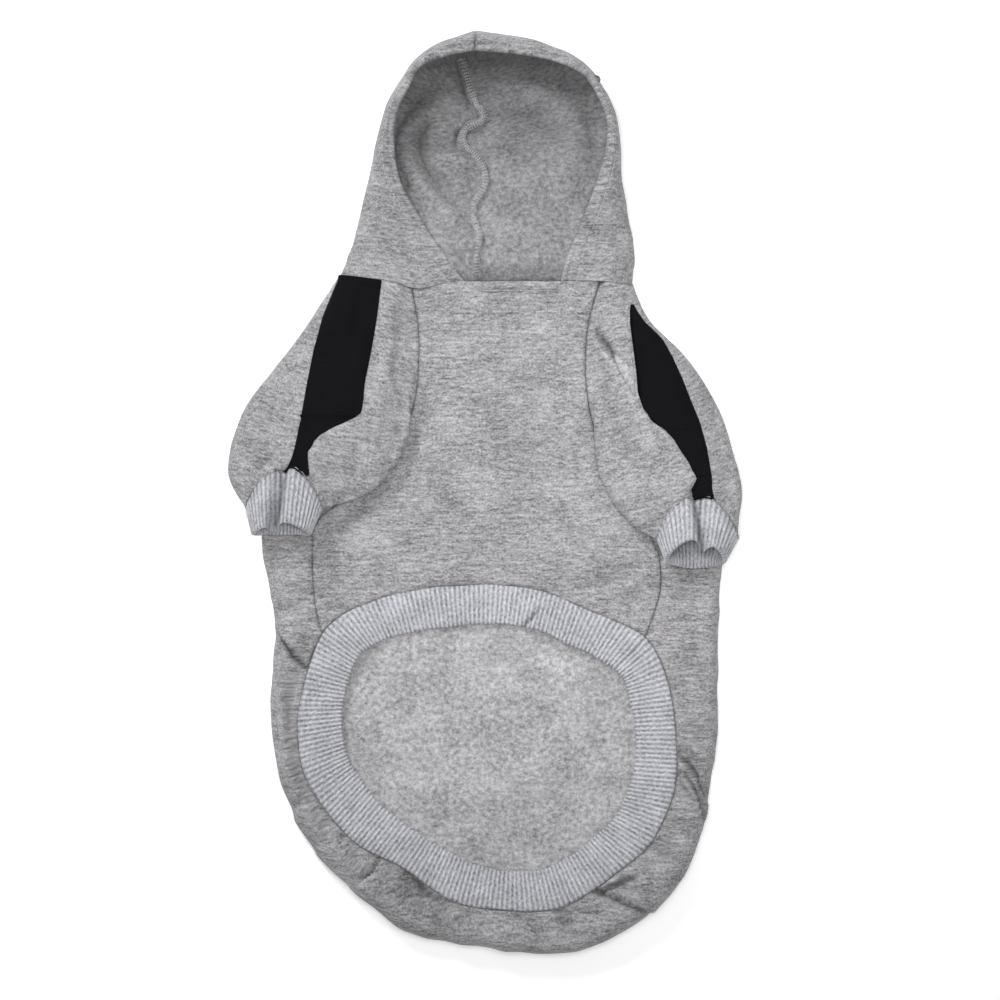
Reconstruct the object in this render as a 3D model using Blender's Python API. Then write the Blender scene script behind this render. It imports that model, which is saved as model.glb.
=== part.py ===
"""Dog hoodie, raglan cut, laid flat with the belly side up. Metres, +Z up.

X runs across the garment, +Y from the tail to the hood, Z = 0 is the surface it lies on.
The tables are in millimetres. Every piece is one closed sheet, 0.3 mm from the next.
"""
import math

import bpy
import bmesh
from mathutils import Vector

MM = 0.001

FLEECE = 2.0          # wall of the sweatshirt fleece
RIB = 3.0             # rib knit, folded double
TAPE = 0.9            # woven sleeve tape
GAP = 0.3             # between pieces at a seam
NECK_Y = 121.3        # neck seam before the neck line is curved
NECK_REACH = 17       # how far to each side of the seam the curve of the neck line dies out
SHIFT_X = 0.2         # moves the middle of the whole outline to X = 0

RIB_RAISE = 0.5       # rib ridge above its groove
HEM_RIBS = 216
CUFF_RIBS = 40
HEM_PLAIN = 54        # stations of the hem's plain underside
CUFF_PLAIN = 20
TUCK_REACH = 7.5      # how far a sleeve's lower fold lies over the belly panel

STEPS = 2             # stations for each row of a table, so that seams share their points
TAIL_STEPS = 4
BELLY_ACROSS = 21
SLEEVE_COLUMNS = (6, 5, 14)     # before, under and beyond the tape
HOOD_ROUND = 17
HOOD_ALONG = 15

# Armhole, where the back panel's edge climbs round its side fold to the underarm point.
ARMHOLE = {
    "columns": ("fold x", "fold y", "seam x", "seam y", "share of the fold", "height"),
    "left": ((-121, -4, -99, -4, 0.02, 8.5), (-125, -8, -99, -8, 0.25, 8.5),
             (-127, -12, -99, -12, 0.5, 8.5), (-128, -16, -99, -16, 0.75, 8.7)),
    "right": ((126, -17, 99, -17, 0.02, 8.5), (130, -21, 99, -21, 0.25, 8.5),
              (133, -26, 99, -26, 0.5, 8.5), (135, -31, 99, -31, 0.75, 8.7)),
}

# Side seams and the side folds next to them, underarm to rib hem.
SIDE = {
    "columns": ("fold x", "fold y", "seam x", "seam y", "seam z", "height"),
    "left": ((-128.5, -20, -99, -20, 7.6, 9.0), (-127.5, -34, -99, -34, 8.4, 10.5),
             (-124.5, -50, -98.6, -50, 9.0, 12.0), (-121.6, -66, -97, -66, 9.3, 13.0)),
    "right": ((136.2, -36, 99.3, -36, 7.6, 9.0), (135.2, -45, 100.2, -45, 8.2, 10.2),
              (134.0, -55, 99.9, -55, 8.8, 11.5), (133.4, -68, 96.6, -68, 9.2, 12.5)),
}

# Rib hem: its seam and its inner edge, from the left side seam over the belly to the
# right one, then round the tail.
HEM = {
    "columns": ("seam x", "seam y", "seam z", "inner x", "inner y", "inner z"),
    "belly": ((-93.4, -80.6, 9.3, -73.4, -94.9, 7.4), (-68.3, -63.4, 6.9, -58.0, -84.0, 5.8),
              (-37.4, -55.4, 5.7, -32.9, -78.3, 5.5), (-3.1, -52.6, 5.5, -3.1, -74.9, 5.4),
              (28.9, -55.4, 5.6, 24.3, -76.6, 5.4), (59.7, -67.4, 6.7, 51.1, -88.0, 5.7),
              (91.1, -82.9, 9.1, 74.0, -100.6, 7.2)),
    "tail": ((104.3, -108.6, 10.3, 82.0, -114.3, 7.4), (108.9, -140.0, 11.0, 86.0, -140.0, 7.3),
             (107.7, -169.7, 11.4, 83.1, -166.8, 7.2), (95.1, -198.8, 11.8, 72.9, -186.8, 7.2),
             (71.1, -220.0, 12.0, 56.3, -201.7, 7.0), (42.6, -237.1, 12.2, 35.7, -214.8, 6.8),
             (11.1, -238.3, 12.0, 12.3, -216.6, 6.6), (-19.1, -233.1, 11.8, -11.7, -210.3, 6.6),
             (-47.1, -214.3, 11.4, -35.1, -197.1, 6.6), (-71.7, -201.7, 11.0, -55.7, -182.3, 6.8),
             (-91.1, -181.7, 10.6, -72.3, -163.4, 7.0), (-104.9, -156.0, 10.4, -80.3, -146.8, 7.2),
             (-106.0, -122.9, 10.0, -82.0, -122.9, 7.4)),
}
HEM_ROWS = HEM["belly"] + HEM["tail"]
BELLY_SHARE = (len(HEM["belly"]) - 1) / len(HEM_ROWS)

# The fold that the back panel makes outside the rib hem, in the order of the tail rows.
TAIL_FOLD = {
    "columns": ("fold x", "fold y", "height"),
    "rows": ((132.3, -112.6, 14.0), (131.7, -140.0, 15.0), (128.9, -167.4, 15.5),
             (122.6, -198.3, 16.5), (108.0, -226.4, 17.5), (79.0, -251.3, 17.0),
             (42.0, -263.4, 16.5), (-11.0, -258.4, 16.5), (-44.5, -250.6, 16.0),
             (-78.6, -224.6, 15.5), (-103.1, -197.1, 15.0), (-117.4, -162.8, 14.5),
             (-123.1, -124.0, 14.0)),
    "hem left": (-120.4, -82.0, 13.6),
    "hem right": (133.4, -79.0, 13.4),
}

# Gathers where the back panel is drawn into the rib hem. Place 0 is the left side seam,
# 1 is back there after going over the belly and round the tail.
GATHERS = {
    "columns": ("place round the hem", "depth", "width"),
    "rows": ((0.345, 1.6, 0.012), (0.395, 2.6, 0.011), (0.450, 3.4, 0.011), (0.505, 2.0, 0.012),
             (0.560, 3.0, 0.010), (0.605, 1.8, 0.012), (0.650, 2.6, 0.010), (0.700, 2.0, 0.012),
             (0.745, 2.6, 0.010), (0.795, 3.0, 0.011), (0.850, 1.8, 0.013), (0.905, 1.5, 0.013),
             (0.965, 2.6, 0.011)),
}

# Belly panel, neck to rib hem: left seam, right seam, upper face at the seams and middle.
BELLY = {
    "columns": ("left x", "left y", "right x", "right y", "edge z", "middle z"),
    "rows": ((-42, 121.3, 65.4, 121.3, 7.2, 6.2), (-38.4, 96, 58.8, 97, 7.0, 5.6),
             (-38.2, 72, 57.0, 70, 7.0, 5.2), (-41, 50, 60.5, 42, 7.0, 5.2),
             (-50, 30, 70, 15, 7.0, 5.2), (-62, 12, 79, -2, 7.0, 5.2),
             (-78, -2, 89, -17, 7.1, 5.2), (-92, -12, 96, -28, 7.3, 5.2),
             (-99, -20, 99.3, -36, 7.6, 5.2), (-99, -34, 100.2, -45, 8.4, 5.2),
             (-98.6, -50, 99.9, -55, 9.0, 5.2), (-97, -66, 96.6, -68, 9.3, 5.4),
             (-93.4, -80.6, 91.1, -82.9, 9.3, 5.5)),
}

# Sleeves, neck to cuff. The front seam meets the belly panel, the back seam the back panel.
# Tuck is how much of TUCK_REACH the lower fold lies over the belly panel.
# Round is how far the section has become the oval that the cuff is sewn to.
SLEEVE = {
    "columns": ("front x", "front y", "fold x", "fold y", "back x", "back y",
                "height", "rest z", "back z", "front z", "tuck", "round", "arch"),
    "left": ((-42, 121.3, -84, 121.3, -52, 121.3, 13, 0, 0, 7.2, 0.0, 0.0, 0),
             (-38.4, 96, -101, 97, -60, 98, 16, 0, 0, 7.0, 0.0, 0.0, 0),
             (-38.2, 72, -119, 73, -69, 74, 18, 0, 0, 7.0, 0.0, 0.0, 0),
             (-41, 50, -136, 51, -79, 52, 20, 0, 0, 7.0, 0.45, 0.0, 1),
             (-50, 30, -144, 31, -90, 32, 22, 0, 0, 7.0, 0.9, 0.0, 6),
             (-62, 12, -147, 16, -103, 16, 24, 1.0, 1.0, 7.0, 1.0, 0.0, 13),
             (-78, -2, -146, 6, -113, 6, 26, 4, 4, 8.0, 1.0, 0.35, 22),
             (-92, -12, -140, -6, -121, -4, 26, 8, 9, 10.5, 0.6, 1.0, 24)),
    "right": ((65.4, 121.3, 84, 121.3, 57, 121.3, 11.5, 0, 0, 7.2, 0.0, 0.0, 0),
              (58.8, 97, 94.5, 98, 62, 99, 16, 0, 0, 7.0, 0.0, 0.0, 0),
              (57, 70, 117.5, 74, 70, 75, 19, 0, 0, 7.0, 0.0, 0.0, 0),
              (60.5, 42, 134, 46, 83, 46, 21, 0, 0, 7.0, 0.45, 0.0, 1),
              (70, 15, 142, 21, 97, 21, 23, 0, 0, 7.0, 0.9, 0.0, 4),
              (79, -2, 146, 5, 110, 3, 24, 1.0, 1.0, 7.0, 1.0, 0.0, 8),
              (89, -17, 146, -5, 119, -7, 26, 4, 4, 8.0, 1.0, 0.3, 18),
              (96, -28, 142, -18, 126, -17, 26, 8, 9, 10.5, 0.6, 1.0, 18)),
}
RAGLAN_ROWS = 7       # sleeve rows whose back seam lies on the surface

# Where the lower front of each sleeve folds over its own upper part.
FLAP = {
    "columns": ("start x", "start y", "end x", "end y", "rise"),
    "left": ((-64, 44, -104, 19, 3.6),),
    "right": ((80, 60, 121, 0, 3.6), (82, 112, 87, 62, 2.0)),
}

# Cuffs: middle of the seam end, middle of the opening, half widths and depth there.
CUFF = {
    "columns": ("x", "y", "z", "opening x", "opening y", "opening z",
                "half width", "opening half width", "half depth", "arch", "opening arch"),
    "left": (-115.0, 2.5, 18.5, -116.0, -20.0, 23.0, 21.5, 17.0, 9.0, 14.0, 3.0),
    "right": (121.0, -15.0, 18.5, 119.8, -36.5, 24.0, 23.0, 17.0, 10.5, 14.0, 3.0),
}
CUFF_DEPTH_AXIS = Vector((0, 0.66, 0.75))
CUFF_PINCH = 3.2

# Where each sleeve tape runs, as shares of the way round the sleeve.
BAND = {
    "columns": ("along the sleeve", "inner edge", "outer edge"),
    "left": ((0.0, 0.29, 0.50), (0.143, 0.298, 0.505), (0.286, 0.291, 0.46),
             (0.429, 0.255, 0.405), (0.5, 0.262, 0.405), (0.571, 0.298, 0.41),
             (0.643, 0.325, 0.408), (0.75, 0.335, 0.405), (1.0, 0.335, 0.41)),
    "right": ((0.0, 0.40, 0.50), (0.071, 0.42, 0.505), (0.143, 0.413, 0.525),
              (0.214, 0.37, 0.52), (0.286, 0.335, 0.486), (0.357, 0.308, 0.472),
              (0.429, 0.312, 0.465), (0.5, 0.365, 0.477), (0.571, 0.40, 0.487),
              (0.714, 0.418, 0.49), (1.0, 0.42, 0.487)),
}
BAND_LIFT = 0.6

# Hood halves, neck to crown: back seam on the surface, side fold, mouth edge.
HOOD = {
    "columns": ("seam x", "seam y", "fold x", "fold y", "edge x", "edge y", "edge z", "height",
                "shoulder"),
    "left": ((-4.5, 121.3, -83.5, 121.3, -11.5, 121.3, 6.3, 13, 0.08),
             (-5.0, 139, -76.5, 139, -24.5, 139, 11, 17, 0.45),
             (-6.0, 159, -71.5, 159, -37.6, 159, 17, 22, 0.6),
             (-5.0, 179, -66.8, 179, -47.7, 178, 22, 26, 0.7),
             (-8.0, 198, -62.6, 200, -51.1, 197, 26, 28, 0.7),
             (-9.0, 215, -57.0, 220, -49.6, 217, 28.5, 29.5, 0.7),
             (-6.5, 228, -47.2, 236.6, -42.5, 232.2, 30.5, 31, 0.7),
             (-6.0, 237, -39.0, 248.6, -36.0, 243.0, 32, 32.3, 0.7),
             (-6.5, 244, -23.5, 258, -21.5, 248.6, 33, 33.3, 0.7),
             (-6.5, 249, -5.5, 264, -6.0, 251.6, 33, 33.5, 0.7)),
    "right": ((-4.5, 121.3, 84.0, 121.3, 42.5, 121.3, 6.3, 11.5, 0.08),
              (-5.0, 139, 84.6, 139, 47.3, 138, 11, 17, 0.45),
              (-6.0, 159, 81.2, 159, 55.1, 157, 17, 22, 0.6),
              (-5.0, 179, 78.2, 179, 62.6, 178, 22, 26, 0.7),
              (-8.0, 198, 76.8, 198, 67.7, 196, 26, 28, 0.7),
              (-9.0, 215, 74.5, 216, 68.5, 211.5, 28.5, 29.5, 0.7),
              (-6.5, 228, 68.0, 231, 63.4, 225.7, 30.5, 31, 0.7),
              (-6.0, 237, 57.0, 244.5, 54.4, 238.5, 32, 32.3, 0.7),
              (-6.5, 244, 31.8, 257.4, 31.5, 247.4, 33, 33.3, 0.7),
              (-6.5, 249, -5.5, 264, -6.0, 251.6, 33, 33.5, 0.7)),
}

# The seam allowance inside the hood waves from side to side of the back seam.
RIDGE = {
    "columns": ("x", "y"),
    "rows": ((-4.5, 127), (-2, 137), (-4.5, 149), (-8.5, 160), (-2.5, 172), (1, 180),
             (-3, 188), (-11, 196), (-12.5, 204), (-5, 212), (0.5, 218), (-6, 226),
             (-9.5, 234), (-10, 241)),
}
RIDGE_STATIONS = 40
RIDGE_HALF_WIDTH = 2.6
RIDGE_RISE = 3.4

# Turned front edge of the neck, across the hood's mouth, as shares across the belly panel.
NECK_BAND = {"columns": ("from", "to", "depth"), "row": (0.292, 0.780, 6.5)}
NECK_BAND_WALL = 1.6
NECK_BAND_LIFT = 0.55

COLOURS = {
    "fleece_grey": ((0.37, 0.375, 0.39), 0.95),
    "rib_grey": ((0.44, 0.455, 0.475), 0.92),
    "tape_black": ((0.006, 0.006, 0.008), 0.7),
}


def clear_scene():
    for thing in list(bpy.data.objects):
        bpy.data.objects.remove(thing, do_unlink=True)


def mix(a, b, t):
    return a + (b - a) * t


def bell(x, width):
    return math.exp(-(x / width) ** 2)


def step(x):
    x = min(1.0, max(0.0, x))
    return x * x * (3 - 2 * x)


def row_at(rows, t, closed=False):
    """A table's row at t, 0 to 1, on a smooth line through its rows."""
    span = len(rows) if closed else len(rows) - 1
    place = t * span
    i = min(int(math.floor(place)), span - 1)
    f = place - i

    def row(k):
        if closed:
            return rows[k % len(rows)]
        return rows[max(0, min(len(rows) - 1, k))]

    out = []
    for p, q, r, s in zip(row(i - 1), row(i), row(i + 1), row(i + 2)):
        out.append(0.5 * (2 * q + (r - p) * f + (2 * p - 5 * q + 4 * r - s) * f * f
                          + (3 * q - p - 3 * r + s) * f ** 3))
    return out


def curve(controls, shares):
    """Points on a smooth line through the controls; close controls draw the points closer."""
    ends = [controls[0] * 2 - controls[1]] + controls + [controls[-1] * 2 - controls[-2]]
    spans = [max((b - a).length, 1e-4) ** 0.5 for a, b in zip(ends, ends[1:])]
    reach = [0.0]
    for span in spans[1:-1]:
        reach.append(reach[-1] + span)
    out = []
    i = 0
    for share in shares:
        want = reach[-1] * min(1.0, max(0.0, share))
        while i < len(reach) - 2 and reach[i + 1] < want:
            i += 1
        p0, p1, p2, p3 = ends[i:i + 4]
        t1 = spans[i]
        t2 = t1 + spans[i + 1]
        t3 = t2 + spans[i + 2]
        t = t1 + want - reach[i]
        a1 = p0 * ((t1 - t) / t1) + p1 * (t / t1)
        a2 = p1 * ((t2 - t) / (t2 - t1)) + p2 * ((t - t1) / (t2 - t1))
        a3 = p2 * ((t3 - t) / (t3 - t2)) + p3 * ((t - t2) / (t3 - t2))
        b1 = a1 * ((t2 - t) / t2) + a2 * (t / t2)
        b2 = a2 * ((t3 - t) / (t3 - t1)) + a3 * ((t - t1) / (t3 - t1))
        out.append(b1 * ((t2 - t) / (t2 - t1)) + b2 * ((t - t1) / (t2 - t1)))
    return out


def evenly(count):
    return [n / (count - 1) for n in range(count)]


def stations(rows, steps):
    """The rows of a table with smooth rows between them."""
    count = (len(rows) - 1) * steps
    return [row_at(rows, n / count) for n in range(count + 1)]


def neck_dip(x, z):
    """How far the neck seam leaves a straight line; the upper layer dips at the raglan."""
    left = 3.6 / (1 + math.exp((x + 70) / 7))
    right = -3.2 / (1 + math.exp(-(x - 76) / 5))
    return (left + right) * step(z / 9) - 4.6 * bell(x + 38, 13) * step((z - 2.2) / 2)


def settle(p):
    """Curves the neck line, keeps a point above the surface and moves it to the origin."""
    y = p.y + neck_dip(p.x, p.z) * bell(p.y - NECK_Y, NECK_REACH)
    return Vector((p.x + SHIFT_X, y, max(0.0, p.z))) * MM


def material(name):
    found = bpy.data.materials.get(name)
    if found:
        return found
    colour, rough = COLOURS[name]
    made = bpy.data.materials.new(name)
    made.use_nodes = True
    shader = made.node_tree.nodes["Principled BSDF"]
    shader.inputs["Base Color"].default_value = (*colour, 1)
    shader.inputs["Roughness"].default_value = rough
    shader.inputs["Metallic"].default_value = 0
    return made


def add_object(name, points, faces, colour):
    mesh = bpy.data.meshes.new(name)
    mesh.from_pydata([settle(p) for p in points], [], faces)
    made = bpy.data.objects.new(name, mesh)
    bpy.context.collection.objects.link(made)
    mesh.materials.append(material(colour))
    bm = bmesh.new()
    bm.from_mesh(mesh)
    bmesh.ops.recalc_face_normals(bm, faces=bm.faces)
    bm.to_mesh(mesh)
    bm.free()
    for face in mesh.polygons:
        face.use_smooth = True
    return made


def grid_normals(grid, closed):
    """Directions square to a grid of points, from its neighbours."""
    rows, cols = len(grid), len(grid[0])
    out = []
    for i in range(rows):
        line = []
        for j in range(cols):
            if closed:
                along = grid[(i + 1) % rows][j] - grid[i - 1][j]
            else:
                along = grid[min(i + 1, rows - 1)][j] - grid[max(i - 1, 0)][j]
            across = grid[i][min(j + 1, cols - 1)] - grid[i][max(j - 1, 0)]
            line.append(along.cross(across).normalized())
        out.append(line)
    return out


UP = Vector((0, 0, 1))
DOWN = Vector((0, 0, -1))


def without(n, axis):
    n = n.copy()
    n[axis] = 0
    return n.normalized()


def offset(grid, depth, flip=1, closed=False, square=None):
    """The grid moved in by depth; square changes the direction at seams."""
    normals = grid_normals(grid, closed)
    out = []
    for i, line in enumerate(grid):
        moved = []
        for j, p in enumerate(line):
            n = normals[i][j] * flip
            if square:
                n = square(i, j, n)
            moved.append(p - n * depth)
        out.append(moved)
    return out


def sheet_faces(rows, cols, closed, capped):
    """Faces of a wall whose outer grid is followed by its inner grid."""
    size = rows * cols
    faces = []
    for i in range(rows if closed else rows - 1):
        k = (i + 1) % rows
        for j in range(cols - 1):
            a, b, c, d = i * cols + j, i * cols + j + 1, k * cols + j + 1, k * cols + j
            faces.append((a, b, c, d))
            faces.append((d + size, c + size, b + size, a + size))
        a, d = i * cols, k * cols
        faces.append((a, d, d + size, a + size))
        if not capped:
            a, d = i * cols + cols - 1, k * cols + cols - 1
            faces.append((d, a, a + size, d + size))
    if capped:
        inner_loop = [i * cols + cols - 1 for i in range(rows)]
        faces.append(tuple(inner_loop))
        faces.append(tuple(i + size for i in reversed(inner_loop)))
    if not closed:
        for j in range(cols - 1):
            a, b = j, j + 1
            faces.append((b, a, a + size, b + size))
            a, b = (rows - 1) * cols + j, (rows - 1) * cols + j + 1
            faces.append((a, b, b + size, a + size))
    return faces


def wall(name, outer, inner, colour, closed=False, capped=False):
    points = [p for line in outer for p in line] + [p for line in inner for p in line]
    faces = sheet_faces(len(outer), len(outer[0]), closed, capped)
    return add_object(name, points, faces, colour)


# Back panel: a loop of stations, each a line from the seam round the fold to the surface.

FOLD_PLACES = (1.0, 0.81, 0.65, 0.52, 0.4, 0.25, 0.07, -0.4)
INWARD = 30.0         # mm on the surface for each unit below place 0
BODY_MIDDLE = Vector((0, -60, 0))
NECK_STATIONS = (38, 19, 0, -19, -36)


def flat_row(x, y):
    """A station whose edge lies on the surface."""
    inward = (BODY_MIDDLE - Vector((x, y, 0))).normalized() * INWARD
    return (x, y, x + inward.x, y + inward.y, 0.0, 2.0, 0.0)


def armhole_rows(side):
    """Neck to underarm: fold, seam, share of the fold, seam height, fold height."""
    rows = [flat_row(line[4], line[5]) for line in SLEEVE[side][:RAGLAN_ROWS]]
    for fx, fy, sx, sy, share, high in ARMHOLE[side]:
        rows.append((fx, fy, sx, sy, share, high - 1.0, high))
    fx, fy, sx, sy, sz, high = SIDE[side][0]
    rows.append((fx, fy, sx, sy, 1.0, sz, high))
    return stations(rows, STEPS)[:-1]


def side_rows(side):
    """Underarm to rib hem."""
    rows = [(fx, fy, sx, sy, 1.0, sz, high) for fx, fy, sx, sy, sz, high in SIDE[side]]
    fx, fy, high = TAIL_FOLD["hem " + side]
    corner = HEM_ROWS[0] if side == "left" else HEM["belly"][-1]
    rows.append((fx, fy, corner[0], corner[1], 1.0, corner[2], high))
    return stations(rows, STEPS)


def tail_rows():
    """Right side seam to the left one, round the rib hem."""
    folds = [TAIL_FOLD["hem right"]] + list(TAIL_FOLD["rows"]) + [TAIL_FOLD["hem left"]]
    made = stations(folds, TAIL_STEPS)
    out = []
    for n, (fx, fy, high) in enumerate(made):
        place = mix(BELLY_SHARE, 1.0, n / (len(made) - 1))
        seam = hem_seam(place, -GAP / 2)
        out.append(((fx, fy, seam.x, seam.y, 1.0, seam.z, high), place))
    return out[1:-1]


def gather_at(place):
    """Depth of the gathers at a place round the hem."""
    return sum(depth * bell(place - at, width) for at, depth, width in GATHERS["rows"])


def fold_point(p, width, seam_z, high):
    """Distance in from the fold, and height, at a place p on a station's line."""
    radius = min(high / 2, width * 0.4)
    if p > 0.5:
        f = (p - 0.5) / 0.5
        return mix(radius, width - GAP / 2, f), mix(high, seam_z, step(f))
    if p < 0:
        return radius - p * INWARD, 0.0
    angle = math.pi * (p / 0.5) - math.pi / 2
    return radius * (1 - math.cos(angle)), high / 2 * (1 + math.sin(angle))


def back_station(row, place):
    fx, fy, sx, sy, share, seam_z, high = row
    share = min(1.0, max(0.0, share))
    high = max(0.0, high)
    inward = Vector((sx - fx, sy - fy, 0))
    width = inward.length
    inward.normalize()
    low = FOLD_PLACES[-1]
    line = []
    for full in FOLD_PLACES:
        p = low + (share - low) * (full - low) / (1 - low)
        away, up = fold_point(p, width, seam_z, high)
        if share < 0.01:
            away += GAP / 2
        sink = gather_at(place) * bell(p - 0.78, 0.22) * share
        at = Vector((fx, fy, 0)) + inward * (away + sink * 0.5 * bell(p - 0.5, 0.15))
        at.z = max(0.0, up - sink)
        at.y = min(at.y, NECK_Y - GAP / 2)
        line.append(at)
    return line, share


def back_stations():
    left = armhole_rows("left") + side_rows("left")
    right = armhole_rows("right") + side_rows("right")
    made = [back_station(row, 0.0) for row in left]
    made += [back_station(row, place) for row, place in reversed(tail_rows())]
    made += [back_station(row, 0.0) for row in reversed(right)]
    made += [back_station(flat_row(x, NECK_Y), 0.0) for x in NECK_STATIONS]
    return made


def build_back():
    made = back_stations()
    grid = [line for line, share in made]
    shares = [share for line, share in made]

    def square(i, j, n):
        if j == 0 and shares[i] > 0.95:
            return UP
        if j == len(FOLD_PLACES) - 1 or (j == 0 and shares[i] < 0.05):
            return DOWN
        return n

    inner = offset(grid, FLEECE, -1, True, square)
    wall("back_panel", grid, inner, "fleece_grey", True, True)


# Rib hem and belly panel.

def hem_point(place, share):
    """On the rib hem: share 0 is its seam, 1 its inner edge. Negative is outside it."""
    sx, sy, sz, ix, iy, iz = row_at(HEM_ROWS, place % 1.0, True)
    return Vector((mix(sx, ix, share), mix(sy, iy, share), mix(sz, iz, share)))


def hem_seam(place, gap):
    """A point gap mm inside the seam of the rib hem, or outside it if gap is below 0."""
    seam, inner = hem_point(place, 0), hem_point(place, 1)
    return hem_point(place, gap / (seam - inner).length)


def belly_rows():
    """Belly panel rows, with a corner at the underarm."""
    rows = BELLY["rows"]
    split = len(rows) - len(SIDE["left"]) - 1
    return stations(rows[:split + 1], STEPS)[:-1] + stations(rows[split:], STEPS)


def belly_point(row, along, across):
    """On the belly panel: along 0 is the neck, 1 the rib hem."""
    lx, ly, rx, ry, edge_z, middle_z = row
    bow = step((along - 0.45) / 0.55)
    low = hem_seam(across * BELLY_SHARE, -GAP * 0.7)
    start, end = hem_seam(0, -GAP * 0.7), hem_seam(BELLY_SHARE, -GAP * 0.7)
    x = mix(lx + GAP / 2, rx - GAP / 2, across) + bow * (low.x - mix(start.x, end.x, across))
    y = mix(ly, ry, across) + bow * (low.y - mix(start.y, end.y, across))
    side = abs(2 * across - 1) ** 3
    z = mix(mix(middle_z, edge_z, side), low.z, bow ** 4)
    if along > 0.999:
        inset = GAP / 2 * (1 - 2 * across) * side
        return Vector((low.x + inset, low.y, low.z))
    return Vector((x, min(y, NECK_Y - GAP / 2), z))


def belly_grid():
    """Columns lie closer towards the seams."""
    rows = belly_rows()
    last = len(rows) - 1
    places = [mix(u, 0.5 - 0.5 * math.cos(math.pi * u), 0.5) for u in evenly(BELLY_ACROSS)]
    return [[belly_point(row, n / last, u) for u in places] for n, row in enumerate(rows)]


def build_belly():
    grid = belly_grid()

    def square(i, j, n):
        if j in (0, BELLY_ACROSS - 1) or i in (0, len(grid) - 1):
            return UP
        return n

    inner = offset(grid, FLEECE, 1, False, square)
    wall("belly_panel", grid, inner, "fleece_grey")


def build_neck_band():
    start, end, depth = NECK_BAND["row"]
    top, low = [], []
    for k in range(3):
        upper, lower = [], []
        for u in evenly(10):
            at = belly_point(BELLY["rows"][0], 0, mix(start, end, u))
            at.y -= depth * k / 2
            at.z += NECK_BAND_LIFT
            lower.append(at)
            upper.append(at + Vector((0, 0, NECK_BAND_WALL)))
        top.append(upper)
        low.append(lower)
    wall("neck_band", top, low, "fleece_grey")


def ribbed(name, fine, plain):
    """A ribbed ring: fine outer rows of stations over a coarse plain inside."""
    count, cols = len(fine), len(fine[0])
    coarse = len(plain)
    ratio = count // coarse
    size = count * cols
    points = [p for line in fine for p in line] + [p for line in plain for p in line]
    faces = []
    for i in range(count):
        k = (i + 1) % count
        for j in range(cols - 1):
            faces.append((i * cols + j, i * cols + j + 1, k * cols + j + 1, k * cols + j))
    for i in range(coarse):
        k = (i + 1) % coarse
        for j in range(cols - 1):
            a, b = size + i * cols + j, size + i * cols + j + 1
            c, d = size + k * cols + j + 1, size + k * cols + j
            faces.append((d, c, b, a))
        for j in (0, cols - 1):
            a, d = size + i * cols + j, size + k * cols + j
            half = ratio // 2
            for s in range(ratio):
                p = ((i * ratio + s) % count) * cols + j
                q = ((i * ratio + s + 1) % count) * cols + j
                faces.append((p, q, a if s < half else d))
            middle = ((i * ratio + half) % count) * cols + j
            faces.append((middle, d, a))
    return add_object(name, points, faces, "rib_grey")


HEM_SHARES = (0.007, 0.93, 1.0)
HEM_DROPS = (0.0, 0.25, 1.3)


def build_hem():
    def ring(count):
        grid = []
        for i in range(count):
            line = []
            for share, drop in zip(HEM_SHARES, HEM_DROPS):
                at = hem_point(i / count, share)
                at.z -= drop
                line.append(at)
            grid.append(line)
        return grid

    fine = ring(HEM_RIBS * 2)
    ridges = [[p + Vector((0, 0, RIB_RAISE * (i % 2))) for p in line]
              for i, line in enumerate(fine)]
    plain = ring(HEM_PLAIN)
    for line in plain:
        for j, p in enumerate(line):
            p.z -= RIB - HEM_DROPS[j]
    ribbed("hem_rib", ridges, plain)


# Cuffs and sleeves.

def cuff_point(side, share, angle, grow=0.0):
    """On a cuff: share 0 is its seam, 1 its opening; the angle goes from the inner side up."""
    x, y, z, ox, oy, oz, half, open_half, deep, arch, open_arch = CUFF[side]
    turn = 1 if side == "left" else -1
    wide = math.cos(angle)
    at = Vector((mix(x, ox, share), mix(y, oy, share), mix(z, oz, share)))
    at.x += turn * (mix(half, open_half, share) + grow) * wide
    at.y -= mix(arch, open_arch, share) * (wide * wide - 0.4)
    up = math.sin(angle)
    pinch = CUFF_PINCH * bell(wide + 0.05, 0.24) * max(0.0, up)
    return at + CUFF_DEPTH_AXIS * ((deep + grow) * up - pinch)


def build_cuff(side):
    shares = (0.0, 0.5, 0.94, 1.0)
    sink = (0.0, 0.0, 0.3, 1.2)

    def ring(count, depth):
        grid = []
        for i in range(count):
            angle = 2 * math.pi * i / count
            line = []
            for share, down in zip(shares, sink):
                line.append(cuff_point(side, share, angle, -depth - down * (depth == 0)))
            grid.append(line)
        return grid

    fine = ring(CUFF_RIBS * 2, 0)
    fine = [[p + (cuff_point(side, s, 2 * math.pi * i / len(fine), RIB_RAISE)
                  - cuff_point(side, s, 2 * math.pi * i / len(fine), 0)) * (i % 2)
             for p, s in zip(line, shares)] for i, line in enumerate(fine)]
    ribbed("cuff_" + side, fine, ring(CUFF_PLAIN, RIB - 0.4))


def flap_lift(side, p):
    """Parts of a sleeve lie over its own outer part along short lines."""
    total = 0.0
    for ax, ay, bx, by, rise in FLAP[side]:
        start, end = Vector((ax, ay, 0)), Vector((bx, by, 0))
        line = (end - start).normalized()
        away = Vector((line.y, -line.x, 0)) * (-1 if side == "left" else 1)
        gone = Vector((p.x, p.y, 0)) - start
        along = gone.dot(line) / (end - start).length
        d = gone.dot(away)
        window = step((along + 0.25) / 0.4) * step((1.3 - along) / 0.4)
        lift = rise * step((d + 1) / 5) * bell(max(0.0, d), 24) - 1.1 * bell(d + 3, 3)
        total += lift * window
    return total


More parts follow.
